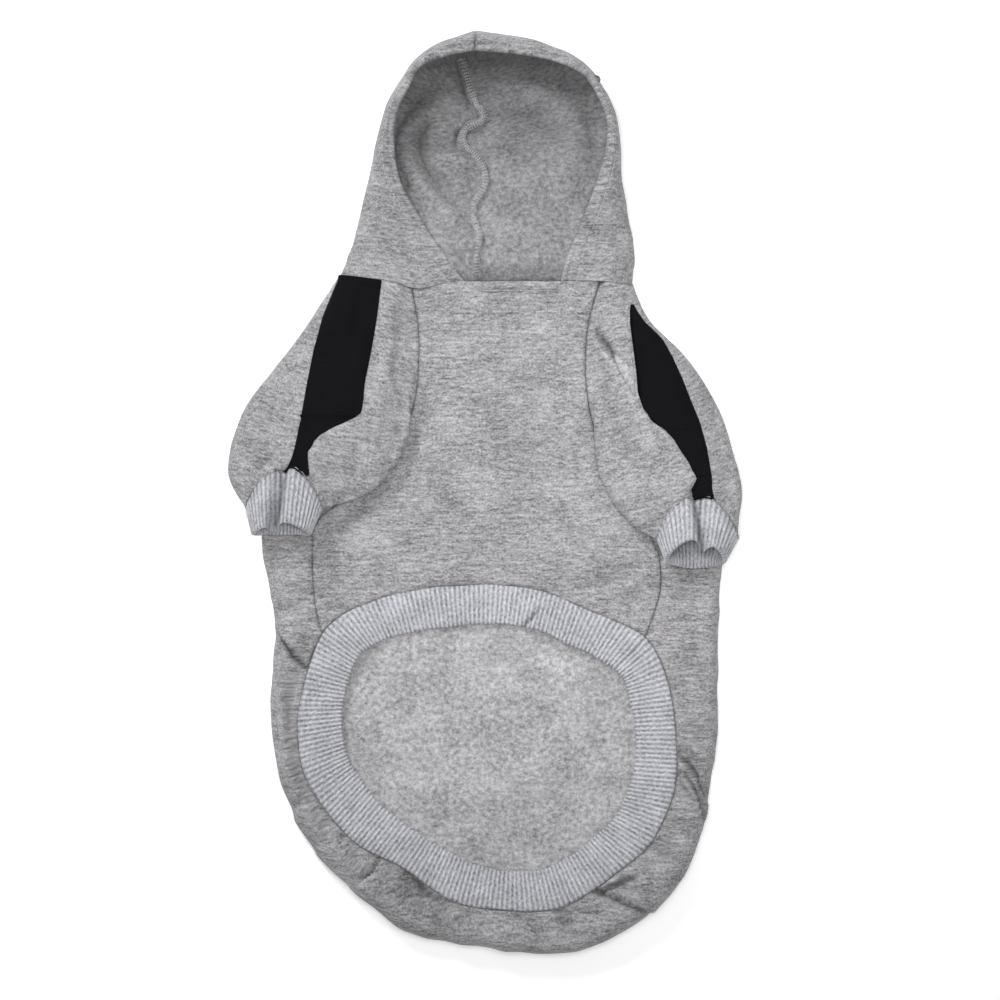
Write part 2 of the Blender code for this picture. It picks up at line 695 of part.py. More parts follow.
def sleeve_section(side, row):
    fx, fy, ox, oy, bx, by, high, rest, back_z, front_z, tuck, round_share, arch = row
    front, fold, back = Vector((fx, fy, 0)), Vector((ox, oy, 0)), Vector((bx, by, 0))
    out = (fold - front).normalized()
    wide = (fold - front).length
    under = (back - fold).normalized()
    deep = (back - fold).length
    tuck = min(1.0, max(0.0, tuck))
    reach = TUCK_REACH
    open_edge = ((GAP / 2, 0.0), (0.04 * wide, 0.5), (0.08 * wide, 1.2), (0.12 * wide, 2.2),
                 (0.16 * wide, 3.4))
    tucked = ((GAP / 2, -0.4), (0.1, 1.5), (-0.5 * reach, 3.1), (-reach, 6.5),
              (-0.7 * reach, 10.0))
    controls = []
    for (d0, z0), (d1, z1) in zip(open_edge, tucked):
        controls.append(front + out * mix(d0, d1, tuck) + Vector((0, 0, front_z + mix(z0, z1, tuck))))
    for share, up in ((0.22, 0.93), (0.45, 1.0), (0.7, 0.97), (0.88, 0.85), (0.975, 0.66)):
        controls.append(front + out * (wide * share) + Vector((0, 0, mix(rest, high, up))))
    controls.append(fold + Vector((0, 0, mix(rest, high, 0.4))))
    for inward, up in ((0.1, 0.14), (0.24, 0.02), (0.5, 0.0), (0.8, 0.0)):
        controls.append(fold + under * (deep * inward) + Vector((0, 0, mix(rest, high, up))))
    controls.append(back - under * GAP + Vector((0, 0, back_z)))
    for p in controls:
        place = 2 * (p - front).dot(out) / wide - 1
        p.y += arch * max(0.0, 1 - place * place) * step((p.z - front_z) / 6)
    return controls, round_share


OVAL_START = -1.15    # angle of the underarm seam on the oval
OVAL_TURN = 2 * math.pi - 0.03
OVAL_GROW = 0.6       # the sleeve is eased into the cuff
OVAL_PLACE = -2 * GAP / 22


def sleeve_row(side, row, shares):
    """Points round a sleeve, from the front seam over the outer fold to the back seam."""
    controls, round_share = sleeve_section(side, row)
    for p in controls:
        if p.z > 6:
            p.z += flap_lift(side, p) * (1 - step(round_share))
    points = curve(controls, shares)
    round_share = step(min(1.0, max(0.0, round_share)))
    if round_share > 0:
        points = [p.lerp(cuff_point(side, OVAL_PLACE, OVAL_START + OVAL_TURN * u, OVAL_GROW),
                         round_share) for p, u in zip(points, shares)]
    for p in points:
        p.y = min(p.y, NECK_Y - GAP / 2)
    return points


def band_edges(side, at):
    """Inner and outer edge of a tape, as shares round the sleeve."""
    rows = BAND[side]
    for a, b in zip(rows, rows[1:]):
        if at <= b[0]:
            f = max(0.0, (at - a[0]) / (b[0] - a[0]))
            return mix(a[1], b[1], f), mix(a[2], b[2], f)
    return rows[-1][1:]


def sleeve_shares(side, at):
    """Shares round a sleeve, with columns on both edges of its tape."""
    before, under, beyond = SLEEVE_COLUMNS
    inner_edge, outer_edge = band_edges(side, at)
    shares = [inner_edge * k / before for k in range(before)]
    shares += [mix(inner_edge, outer_edge, k / under) for k in range(under)]
    shares += [mix(outer_edge, 1.0, k / beyond) for k in range(beyond + 1)]
    return shares


def sleeve_grid(side):
    rows = stations(SLEEVE[side], STEPS)
    last = len(rows) - 1
    return [sleeve_row(side, row, sleeve_shares(side, n / last)) for n, row in enumerate(rows)]


def neck_square(i, j, n):
    """Cuts the neck end of a sheet square to the neck line."""
    return without(n, 1) if i == 0 else n


def build_sleeve(side):
    flip = -1 if side == "left" else 1
    grid = sleeve_grid(side)
    inner = offset(grid, FLEECE, flip, False, neck_square)
    inner[-1] = [cuff_point(side, OVAL_PLACE, OVAL_START + OVAL_TURN * u, OVAL_GROW - FLEECE)
                 for u in sleeve_shares(side, 1.0)]
    wall("sleeve_" + side, grid, inner, "fleece_grey")


def build_band(side):
    """The tape is made from the sleeve's points, moved out."""
    flip = -1 if side == "left" else 1
    grid = sleeve_grid(side)
    before, under, beyond = SLEEVE_COLUMNS

    def tape(gap):
        lifted = offset(grid, -gap, flip, False, neck_square)
        lifted[-2] = [a.lerp(b, 0.8) for a, b in zip(lifted[-3], lifted[-2])]
        return [line[before:before + under + 1] for line in lifted[:-1]]

    wall("sleeve_band_" + side, tape(BAND_LIFT + TAPE), tape(BAND_LIFT), "tape_black")


# Hood.

def hood_section(side, row):
    sx, sy, fx, fy, ex, ey, edge_z, high, shoulder = row
    seam, fold, edge = Vector((sx, sy, 0)), Vector((fx, fy, 0)), Vector((ex, ey, 0))
    out, wide = (fold - edge).normalized(), (fold - edge).length
    under, deep = (seam - fold).normalized(), (seam - fold).length
    radius = min(high * 0.4, deep * 0.45)
    controls = []
    for share, up in ((0.0, 0.0), (0.3, shoulder), (0.6, 0.9)):
        controls.append(edge + out * (wide * share) + Vector((0, 0, mix(edge_z, high, up))))
    for share, up in ((0.84, 0.9), (0.965, 0.69)):
        controls.append(edge + out * (wide * share) + Vector((0, 0, high * up)))
    controls.append(fold + Vector((0, 0, high * 0.42)))
    controls.append(fold + under * (radius * 0.28) + Vector((0, 0, high * 0.14)))
    for share in (0.0, 0.3, 0.65, 1.0):
        controls.append(fold + under * mix(radius, deep, share))
    return controls


def hood_row(side, along, shares):
    points = curve(hood_section(side, row_at(HOOD[side], along)), shares)
    apart = -GAP / 2 if side == "left" else GAP / 2
    for p in points:
        p.x += apart
        p.y = max(p.y, NECK_Y + GAP / 2)
        p.z = max(0.0, p.z)
    return points


def build_hood(side):
    flip = 1 if side == "left" else -1
    shares = evenly(HOOD_ROUND)
    grid = [hood_row(side, v, shares) for v in evenly(HOOD_ALONG)]

    def square(i, j, n):
        if i == 0:
            n = without(n, 1)
        if i == HOOD_ALONG - 1:
            n = without(n, 0)
        if j == HOOD_ROUND - 1:
            n = DOWN
        return n

    inner = offset(grid, FLEECE, flip, False, square)
    wall("hood_" + side, grid, inner, "fleece_grey")


def build_ridge():
    """The overlocked seam allowance, a low wavy ridge on the hood's back seam."""
    base = FLEECE + GAP
    section = ((-1.0, 0.0), (-0.9, 0.5), (-0.45, 0.9), (0.0, 1.0), (0.45, 0.9), (0.9, 0.5),
               (1.0, 0.0))
    size = len(section)
    points, faces = [], []
    for n in range(RIDGE_STATIONS):
        x, y = row_at(RIDGE["rows"], n / (RIDGE_STATIONS - 1))
        for wide, up in section:
            points.append(Vector((x + wide * RIDGE_HALF_WIDTH, y, base + up * RIDGE_RISE)))
    for n in range(RIDGE_STATIONS - 1):
        for k in range(size):
            a, b = n * size + k, n * size + (k + 1) % size
            faces.append((a, b, b + size, a + size))
    faces.append(tuple(range(size)))
    faces.append(tuple(range(size * (RIDGE_STATIONS - 1), size * RIDGE_STATIONS)))
    add_object("hood_seam", points, faces, "fleece_grey")


def main():
    clear_scene()
    build_back()
    build_belly()
    build_neck_band()
    build_hem()
    for side in ("left", "right"):
        build_sleeve(side)
        build_band(side)
        build_cuff(side)
        build_hood(side)
    build_ridge()


main()
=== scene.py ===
"""Dog hoodie of grey sweatshirt fleece, laid flat with the belly side up.

Laid out as an add-on: sizes and colours are properties, each piece of cloth has an operator,
and one panel in the sidebar lists them. Tables are in millimetres, meshes in metres.
X runs across the garment, +Y from the tail to the hood, Z = 0 is the surface it lies on.
"""
import math
import random
import bmesh
import bpy
import numpy as np
from mathutils import Matrix, Vector


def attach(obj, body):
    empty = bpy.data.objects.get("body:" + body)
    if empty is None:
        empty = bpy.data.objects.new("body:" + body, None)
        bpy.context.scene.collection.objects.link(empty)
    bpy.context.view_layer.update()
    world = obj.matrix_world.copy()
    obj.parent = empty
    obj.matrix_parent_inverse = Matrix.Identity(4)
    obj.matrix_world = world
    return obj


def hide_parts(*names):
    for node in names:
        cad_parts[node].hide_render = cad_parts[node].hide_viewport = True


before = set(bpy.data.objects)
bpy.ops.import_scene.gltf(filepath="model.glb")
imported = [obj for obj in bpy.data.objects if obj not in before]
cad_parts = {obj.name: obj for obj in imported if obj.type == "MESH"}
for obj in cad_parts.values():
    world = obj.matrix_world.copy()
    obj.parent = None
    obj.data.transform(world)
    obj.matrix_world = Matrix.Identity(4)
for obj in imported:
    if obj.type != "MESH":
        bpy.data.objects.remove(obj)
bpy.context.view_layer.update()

bl_info = {
    "name": "Dog hoodie",
    "version": (1, 0, 0),
    "blender": (4, 5, 0),
    "location": "3D View > Sidebar > Hoodie",
    "description": "Builds a dog hoodie lying flat, with its cloth, ribs, tapes and sewing",
    "category": "Object",
}

MM = 0.001
GAP = 0.1             # between pieces at a seam
NECK_Y = 121.3        # neck seam before the neck line is curved
NECK_REACH = 17       # the neck line's curve fades out over this distance
SHIFT_X = 0.2         # brings the middle of the garment's box to the origin
TUCK_REACH = 7.5      # how far a sleeve's lower fold lies over the belly panel

# ---------------------------------------------------------------- tables of the cut, in mm

# Armhole, where the back panel's edge climbs round its side fold to the underarm point.
ARMHOLE = {
    "columns": ("fold x", "fold y", "seam x", "seam y", "share of the fold", "height"),
    "left": ((-121, -4, -99, -4, 0.02, 8.5), (-125, -8, -99, -8, 0.25, 8.5),
             (-127, -12, -99, -12, 0.5, 8.5), (-128, -16, -99, -16, 0.75, 8.7)),
    "right": ((126, -17, 99, -17, 0.02, 8.5), (130, -21, 99, -21, 0.25, 8.5),
              (133, -26, 99, -26, 0.5, 8.5), (135, -31, 99, -31, 0.75, 8.7)),
}

# Side seams and the side folds next to them, underarm to rib hem.
SIDE = {
    "columns": ("fold x", "fold y", "seam x", "seam y", "seam z", "height"),
    "left": ((-128.5, -20, -99, -20, 7.6, 9.0), (-127.5, -34, -99, -34, 8.4, 10.5),
             (-124.5, -50, -98.6, -50, 9.0, 12.0), (-121.6, -66, -97, -66, 9.3, 13.0)),
    "right": ((136.2, -36, 99.3, -36, 7.6, 9.0), (135.2, -45, 100.2, -45, 8.2, 10.2),
              (134.0, -55, 99.9, -55, 8.8, 11.5), (133.4, -68, 96.6, -68, 9.2, 12.5)),
}

# Rib hem: its seam and its inner edge, from the left side seam over the belly to the
# right one, then round the tail.
HEM = {
    "columns": ("seam x", "seam y", "seam z", "inner x", "inner y", "inner z"),
    "belly": ((-93.4, -80.6, 9.3, -73.4, -94.9, 7.4), (-68.3, -63.4, 6.9, -58.0, -84.0, 5.8),
              (-37.4, -55.4, 5.7, -32.9, -78.3, 5.5), (-3.1, -52.6, 5.5, -3.1, -74.9, 5.4),
              (28.9, -55.4, 5.6, 24.3, -76.6, 5.4), (59.7, -67.4, 6.7, 51.1, -88.0, 5.7),
              (91.1, -82.9, 9.1, 74.0, -100.6, 7.2)),
    "tail": ((104.3, -108.6, 10.3, 82.0, -114.3, 7.4), (108.9, -140.0, 11.0, 86.0, -140.0, 7.3),
             (107.7, -169.7, 11.4, 83.1, -166.8, 7.2), (95.1, -198.8, 11.8, 72.9, -186.8, 7.2),
             (71.1, -220.0, 12.0, 56.3, -201.7, 7.0), (42.6, -237.1, 12.2, 35.7, -214.8, 6.8),
             (11.1, -238.3, 12.0, 12.3, -216.6, 6.6), (-19.1, -233.1, 11.8, -11.7, -210.3, 6.6),
             (-47.1, -214.3, 11.4, -35.1, -197.1, 6.6), (-71.7, -201.7, 11.0, -55.7, -182.3, 6.8),
             (-91.1, -181.7, 10.6, -72.3, -163.4, 7.0), (-104.9, -156.0, 10.4, -80.3, -146.8, 7.2),
             (-106.0, -122.9, 10.0, -82.0, -122.9, 7.4)),
}
HEM_ROWS = HEM["belly"] + HEM["tail"]
BELLY_SHARE = (len(HEM["belly"]) - 1) / len(HEM_ROWS)

# The fold that the back panel makes outside the rib hem, in the order of the tail rows.
TAIL_FOLD = {
    "columns": ("fold x", "fold y", "height"),
    "rows": ((132.3, -112.6, 14.0), (131.7, -140.0, 15.0), (128.9, -167.4, 15.5),
             (122.6, -198.3, 16.5), (108.0, -226.4, 17.5), (79.0, -251.3, 17.0),
             (42.0, -263.4, 16.5), (-11.0, -258.4, 16.5), (-44.5, -250.6, 16.0),
             (-78.6, -224.6, 15.5), (-103.1, -197.1, 15.0), (-117.4, -162.8, 14.5),
             (-123.1, -124.0, 14.0)),
    "hem left": (-120.4, -82.0, 13.6),
    "hem right": (133.4, -79.0, 13.4),
}

# Gathers where the back panel is drawn into the rib hem. Place 0 is the left side seam,
# 1 is back there after going over the belly and round the tail.
GATHERS = {
    "columns": ("place round the hem", "depth", "width"),
    "rows": ((0.345, 1.6, 0.012), (0.395, 2.6, 0.011), (0.450, 3.4, 0.011), (0.505, 2.0, 0.012),
             (0.560, 3.0, 0.010), (0.605, 1.8, 0.012), (0.650, 2.6, 0.010), (0.700, 2.0, 0.012),
             (0.745, 2.6, 0.010), (0.795, 3.0, 0.011), (0.850, 1.8, 0.013), (0.905, 1.5, 0.013),
             (0.965, 2.6, 0.011)),
}

# Belly panel, neck to rib hem: left seam, right seam, upper face at the seams and middle.
BELLY = {
    "columns": ("left x", "left y", "right x", "right y", "edge z", "middle z"),
    "rows": ((-42, 121.3, 65.4, 121.3, 7.2, 6.2), (-38.4, 96, 58.8, 97, 7.0, 5.6),
             (-38.2, 72, 57.0, 70, 7.0, 5.2), (-41, 50, 60.5, 42, 7.0, 5.2),
             (-50, 30, 70, 15, 7.0, 5.2), (-62, 12, 79, -2, 7.0, 5.2),
             (-78, -2, 89, -17, 7.1, 5.2), (-92, -12, 96, -28, 7.3, 5.2),
             (-99, -20, 99.3, -36, 7.6, 5.2), (-99, -34, 100.2, -45, 8.4, 5.2),
             (-98.6, -50, 99.9, -55, 9.0, 5.2), (-97, -66, 96.6, -68, 9.3, 5.4),
             (-93.4, -80.6, 91.1, -82.9, 9.3, 5.5)),
}

# Sleeves, neck to cuff. The front seam meets the belly panel, the back seam the back panel.
SLEEVE = {
    "columns": ("front x", "front y", "fold x", "fold y", "back x", "back y",
                "height", "rest z", "back z", "front z", "tuck", "round", "arch"),
    "left": ((-42, 121.3, -84, 121.3, -52, 121.3, 13, 0, 0, 7.2, 0.0, 0.0, 0),
             (-38.4, 96, -101, 97, -60, 98, 16, 0, 0, 7.0, 0.0, 0.0, 0),
             (-38.2, 72, -119, 73, -69, 74, 18, 0, 0, 7.0, 0.0, 0.0, 0),
             (-41, 50, -136, 51, -79, 52, 20, 0, 0, 7.0, 0.45, 0.0, 1),
             (-50, 30, -144, 31, -90, 32, 22, 0, 0, 7.0, 0.9, 0.0, 6),
             (-62, 12, -147, 16, -103, 16, 24, 1.0, 1.0, 7.0, 1.0, 0.0, 13),
             (-78, -2, -146, 6, -113, 6, 26, 4, 4, 8.0, 1.0, 0.22, 22),
             (-92, -12, -140, -6, -121, -4, 26, 8, 9, 10.5, 0.6, 1.0, 24)),
    "right": ((65.4, 121.3, 84, 121.3, 57, 121.3, 11.5, 0, 0, 7.2, 0.0, 0.0, 0),
              (58.8, 97, 94.5, 98, 62, 99, 16, 0, 0, 7.0, 0.0, 0.0, 0),
              (57, 70, 117.5, 74, 70, 75, 19, 0, 0, 7.0, 0.0, 0.0, 0),
              (60.5, 42, 134, 46, 83, 46, 21, 0, 0, 7.0, 0.45, 0.0, 1),
              (70, 15, 142, 21, 97, 21, 23, 0, 0, 7.0, 0.9, 0.0, 4),
              (79, -2, 146, 5, 110, 3, 24, 1.0, 1.0, 7.0, 1.0, 0.0, 8),
              (89, -17, 146, -5, 119, -7, 26, 4, 4, 8.0, 1.0, 0.3, 18),
              (96, -28, 142, -18, 126, -17, 26, 8, 9, 10.5, 0.6, 1.0, 18)),
}
RAGLAN_ROWS = 7       # sleeve rows whose back seam lies on the surface
CUFF_LONG = 22        # about, from a cuff's seam to its opening

# The front of each sleeve folds over its outer part. The edge of that fold, from the neck to
# the cuff, and how deep the cloth is turned in under it.
OVERLAP = {
    "columns": ("x", "y", "turned in"),
    "left": ((-66, 54, 0.0), (-71, 43, 2.0), (-80, 36.5, 6.0), (-86, 32.5, 8.0),
             (-91, 28.5, 9.0), (-94.5, 25, 9.0), (-97.5, 20, 8.0), (-99, 14, 7.0),
             (-101, 6, 5.0)),
    "right": ((83, 121, 0.0), (83.5, 113, 1.0), (82.5, 105, 4.0), (82.5, 97, 6.0),
              (84, 85, 8.0), (86, 70, 9.0), (87, 57, 9.0), (90, 47, 9.0), (94, 40.5, 9.0),
              (101, 34.5, 9.0), (107.5, 28, 8.0), (112, 19, 8.0), (116, 10, 7.0),
              (119, 2, 6.0), (120, -6, 5.0)),
}
OVERLAP_RISE = 1.9    # of the upper layer at the edge of the fold
OVERLAP_FULL = 6.0    # turned in by this much, the fold has its whole height

# The sleeve tapes, as lines seen from above.
TAPE = {
    "columns": ("x", "y"),
    "left inner": ((-59, 125), (-59.5, 119), (-62, 100), (-65, 82), (-69, 62), (-70, 50),
                   (-72, 40), (-72, -20)),
    "left outer": ((-84, 125), (-84, 119), (-93, 100), (-98, 82), (-102, 62), (-104, 50),
                   (-106, 40), (-109, 25), (-113, 12), (-116, 4), (-117, -20)),
    "right inner": ((83, 125), (82.5, 108), (80, 100), (78, 90), (80, 70), (84, 40), (100, 0),
                    (104, -20)),
    "right outer": ((84, 125), (84, 110), (91, 98), (101, 88), (107, 77), (112.5, 65),
                    (117.5, 52), (122.5, 40), (126.5, 25), (129, 10), (129.5, -2),
                    (129.5, -20)),
}

# Cuffs: middle of the seam end, middle of the opening, half widths and depth there.
CUFF = {
    "columns": ("x", "y", "z", "opening x", "opening y", "opening z",
                "half width", "opening half width", "half depth", "arch", "opening arch"),
    "left": (-115.0, 2.5, 18.5, -116.5, -22.0, 21.5, 21.5, 16.5, 9.0, 14.0, 3.0),
    "right": (121.0, -15.0, 18.5, 119.8, -36.5, 24.0, 23.0, 17.0, 10.5, 14.0, 3.0),
}
CUFF_DEPTH_AXIS = Vector((0, 0.66, 0.75))
# Each cuff is creased down the middle, where its front lobe lies over its back lobe.
CUFF_VALLEY = {
    "columns": ("place at the seam", "place at the opening", "depth at the seam",
                "depth at the opening"),
    "left": (0.02, -0.2, 5.5, 14.0),
    "right": (0.08, -0.2, 4.5, 9.0),
}
CUFF_ARCH = 4.0       # the seam of a cuff is arched by this much more than the frame's
CUFF_GAPE = {"left": 0.85, "right": 1.2}    # depth of the opening, as a share of the seam's
CUFF_OUTER = 23       # about, the length of a cuff's outer layer
CUFF_OUTSIDE = 15     # points of a cuff's section from the seam to the end of its turned edge
CUFF_RIB_POINTS = 8   # round each rib of a cuff
HEM_RIB_POINTS = 6    # round each rib of the hem
CUFF_HOLLOW = 0.25    # painted shade on the inside of a cuff, as a share of its light

# Hood halves, neck to crown: back seam on the surface, side fold, mouth edge.
HOOD = {
    "columns": ("seam x", "seam y", "fold x", "fold y", "edge x", "edge y", "edge z", "height",
                "shoulder"),
    "left": ((-4.5, 121.3, -83.5, 121.3, -11.5, 121.3, 6.3, 13, 0.08),
             (-5.0, 139, -76.5, 139, -24.5, 139, 11, 17, 0.45),
             (-6.0, 159, -71.5, 159, -37.6, 159, 17, 22, 0.6),
             (-5.0, 179, -66.8, 179, -47.7, 178, 22, 26, 0.7),
             (-8.0, 198, -62.6, 200, -51.1, 197, 26, 28, 0.7),
             (-9.0, 215, -57.0, 220, -49.6, 217, 28.5, 29.5, 0.7),
             (-6.5, 228, -47.2, 236.6, -42.5, 232.2, 30.5, 31, 0.7),
             (-6.0, 237, -39.0, 248.6, -36.0, 243.0, 32, 32.3, 0.7),
             (-6.5, 244, -23.5, 258, -21.5, 248.6, 33, 33.3, 0.7),
             (-6.5, 249, -5.5, 264, -6.0, 251.6, 33, 33.5, 0.7)),
    "right": ((-4.5, 121.3, 84.0, 121.3, 42.5, 121.3, 6.3, 11.5, 0.08),
              (-5.0, 139, 84.6, 139, 47.3, 138, 11, 17, 0.45),
              (-6.0, 159, 81.2, 159, 55.1, 157, 17, 22, 0.6),
              (-5.0, 179, 78.2, 179, 62.6, 178, 22, 26, 0.7),
              (-8.0, 198, 76.8, 198, 67.7, 196, 26, 28, 0.7),
              (-9.0, 215, 74.5, 216, 68.5, 211.5, 28.5, 29.5, 0.7),
              (-6.5, 228, 68.0, 231, 63.4, 225.7, 30.5, 31, 0.7),
              (-6.0, 237, 57.0, 244.5, 54.4, 238.5, 32, 32.3, 0.7),
              (-6.5, 244, 31.8, 257.4, 31.5, 247.4, 33, 33.3, 0.7),
              (-6.5, 249, -5.5, 264, -6.0, 251.6, 33, 33.5, 0.7)),
}

# The seam allowance inside the hood waves from side to side of the back seam.
RIDGE = {
    "columns": ("x", "y"),
    "rows": ((-5.0, 124), (-6, 131), (-5.5, 141), (-5, 150), (-8, 158), (-7.5, 165), (-3, 172),
             (0, 180), (-2, 188), (-6, 194), (-11, 198), (-13, 204), (-10, 209), (-3.5, 212),
             (-1.5, 216), (-5, 220), (-7.5, 225), (-10.5, 233), (-12.5, 241), (-15, 250)),
}

# Turned front edge of the neck, across the hood's mouth, as shares across the belly panel.
NECK_BAND = {"columns": ("from", "to", "depth"), "row": (0.292, 0.780, 6.5)}
NECK_BAND_LIFT = 0.55
NECK_BAND_SINK = 0.8  # the band's stitched edge sinks this far into the panel

# ---------------------------------------------------------------- creases, in mm

# Each crease runs in one bend from a start to an end. Lip raises its left bank if above 0,
# its right bank if below.
CREASES = {
    "columns": ("start x", "start y", "bend x", "bend y", "end x", "end y", "depth", "width",
                "lip"),
    "back": ((-120, -78, -110, -91, -99, -102.5, 2.6, 3.0, 2.0),
             (-125, -98, -114, -116, -108, -136, 1.0, 5.0, 0.3),
             (-112, -104, -112, -130, -107, -150, 0.7, 3.5, 0.0),
             (-59, -207, -65, -217, -73, -223, 3.0, 2.6, 2.2),
             (-68, -202, -62, -205, -56, -210, 2.6, 1.8, 0.4),
             (-48, -214, -38, -230, -41, -245, 1.9, 5.0, 0.5),
             (-24, -236, -27, -246, -20, -257, 1.2, 4.5, -0.4),
             (-3, -238, -6, -248, 3, -258, 1.0, 4.5, 0.4),
             (22, -240, 29, -249, 24, -260, 1.4, 4.0, 0.4),
             (44, -236, 47, -247, 58, -256, 2.2, 4.6, -0.6),
             (63, -225, 79, -232.6, 94, -240, 3.0, 3.0, 2.6),
             (60, -229, 74, -225, 89, -217, 3.2, 2.2, 0.5),
             (-46, -218, -33, -229, -20, -235, 2.6, 2.4, 0.3),
             (88, -214, 94, -226, 90, -238, 0.9, 2.2, 0.3),
             (94, -204, 106, -206, 113, -213, 1.3, 4.0, 0.5),
             (109, -150, 117, -159, 127, -176, 3.0, 2.4, -2.2),
             (109, -143, 116, -150, 128, -163, 1.8, 3.6, 0.3),
             (112, -158, 120, -172, 125, -192, 1.6, 2.0, -1.6),
             (112, -170, 119, -178, 123, -196, 0.9, 2.2, 0.6),
             (104, -190, 113, -189, 121, -194, 1.0, 3.4, 0.4),
             (112, -92, 124, -110, 127, -128, 0.9, 5.0, 0.3),
             (110, -120, 120, -132, 126, -148, 0.8, 4.0, 0.3),
             (-101, -168, -106, -177, -113, -181, 1.7, 3.4, 0.5),
             (-88, -186, -94, -197, -102, -203, 1.2, 3.6, 0.4),
             (-104, -60, -112, -66, -121, -66, 0.8, 4.0, 0.2),
             (104, -52, 114, -60, 130, -62, 0.8, 4.0, 0.2)),
    "belly": ((51.5, 29, 52, 18, 56.5, 7, 1.1, 1.3, 0.2),
              (94, -39, 72, -48, 44, -57, 1.9, 4.0, 0.9),
              (97, -46, 84, -58, 80, -72, 0.9, 4.0, 0.3),
              (-36, 74, -38, 36, -62, 8, 1.2, 5.0, 0.0),
              (-56, 6, -74, -12, -96, -30, 1.2, 5.5, 0.0),
              (62, 34, 72, 8, 92, -22, 1.6, 5.0, 0.0),
              (-92, -30, -86, -46, -89, -66, 0.9, 5.0, 0.3),
              (-28, -45, -20, -50, -6, -50, 0.7, 2.2, 0.0),
              (30, -50, 44, -57, 60, -64, 0.8, 2.6, 0.0),
              (-72, -50, -56, -54, -42, -52, 0.6, 3.0, 0.0),
              (-30, 112, 0, 106, 40, 110, 0.5, 7.0, 0.0),
              (0, 60, 24, 20, 14, -24, 0.4, 16.0, 0.0)),
    "left": ((-58, 56, -53, 42, -58, 20, 1.3, 4.5, 0.4),
             (-46, 70, -49, 38, -58, 12, 0.9, 2.4, -0.6),
             (-80, 34, -75, 22, -77, 4, 1.5, 3.8, 0.5),
             (-98, 20, -90, 12, -80, 8, 1.0, 3.0, 0.4),
             (-90, 0, -80, -3, -70, 2, 1.0, 3.2, 0.3),
             (-128, 60, -126, 40, -133, 22, 1.0, 6.0, 0.2),
             (-118, 30, -124, 20, -133, 18, 1.4, 3.4, 0.4),
             (-121, 16, -129, 15, -138, 8, 1.2, 2.8, 0.4)),
    "right": ((60, 92, 69, 82, 84, 57, 3.4, 3.2, -1.9),
              (94, 41, 98, 34, 104, 23, 1.3, 2.2, 0.6),
              (76, 48, 80, 30, 92, 12, 0.9, 6.0, 0.3),
              (104, 10, 98, 0, 88, -6, 1.0, 5.0, 0.3),
              (92, -24, 96, -20, 103, -8, 1.4, 3.0, 0.5),
              (112, 80, 124, 58, 130, 34, 0.8, 6.0, 0.2),
              (134, 26, 137, 14, 136, 2, 0.8, 3.6, 0.3),
              (64, 72, 66, 56, 66, 36, 0.7, 3.4, 0.2)),
    "hood left": ((-79, 134, -66, 141, -50, 138, 1.0, 6.0, 0.3),
                  (-66, 198, -60, 183, -58, 166, 0.9, 4.0, 0.2),
                  (-60, 168, -50, 156, -37, 145, 0.8, 5.0, 0.2)),
    "hood right": ((83, 136, 70, 143, 56, 140, 1.0, 5.0, 0.3),
                   (78, 180, 72, 167, 66, 158, 0.9, 3.6, 0.3),
                   (81, 160, 74, 150, 62, 148, 0.8, 5.0, 0.2)),
    "hood floor": ((-26, 213, -37, 194, -12, 156, 6.0, 4.6, 0.9),
                   (-29, 219, -47, 194, -13, 150, -2.6, 2.6, 0.0),
                   (-24, 232, -47, 212, -48, 180, 3.0, 6.0, 0.5),
                   (-11, 210, -17, 200, -9, 190, 4.6, 2.0, 0.0),
                   (-17, 249, -14, 236, -8, 220, 5.6, 3.0, 0.0),
                   (-20, 142, -15, 135, -9, 131, 2.6, 4.0, 0.6),
                   (2, 234, 30, 229, 58, 206, -1.8, 6.0, 0.0),
                   (2, 222, 24, 214, 44, 200, 1.8, 6.0, 0.3),
                   (2, 168, 18, 158, 34, 150, 1.2, 7.0, 0.3),
                   (48, 226, 60, 206, 58, 180, 2.2, 5.0, 0.4)),
    "hem": ((32, -65, 27, -72, 21, -78, 1.0, 1.8, 1.1),
            (92, -81, 84, -92, 73, -101, 1.1, 1.0, 0.2),
            (-96, -84, -88, -90, -78, -94, 0.5, 3.0, 0.2)),
}
TUCK_LIP = 1.0        # creases with a lip at least this high overlap like a tuck
TUCK_EDGE = 0.5       # reach of the step where they do
TUCK_SHADE = 2.1      # reach of the painted shade under its edge
LIP_SHADE = 0.85      # share of light kept out under the edge of a tuck
LIP_LIGHT = 0.14      # and gained on its upper layer
TROUGH_SHADE = 0.12   # share of light kept out for each mm of a trough's depth
TROUGH_DARKEST = 0.42
CREASE_STEPS = 12     # straight parts that a crease's bend is followed in
BACK_CREASE = 1.45    # the back panel's creases are this much deeper than in the table
HOOD_FLOOR = 7.0      # the hood's lower layer lies this high, and creases go down from there

# Soft lifts of the hood's lower layer, which show through its mouth.
FLOOR_LIFTS = {
    "columns": ("x", "y", "reach x", "reach y", "lean", "height"),
    "rows": ((-15, 174, 7, 15, 0.10, 4.0), (-27, 212, 5, 12, -0.2, 4.0),
             (24, 158, 24, 30, 0.1, 1.5), (22, 226, 22, 12, 0.0, 2.0),
             (50, 192, 14, 22, 0.2, 1.5)),
}
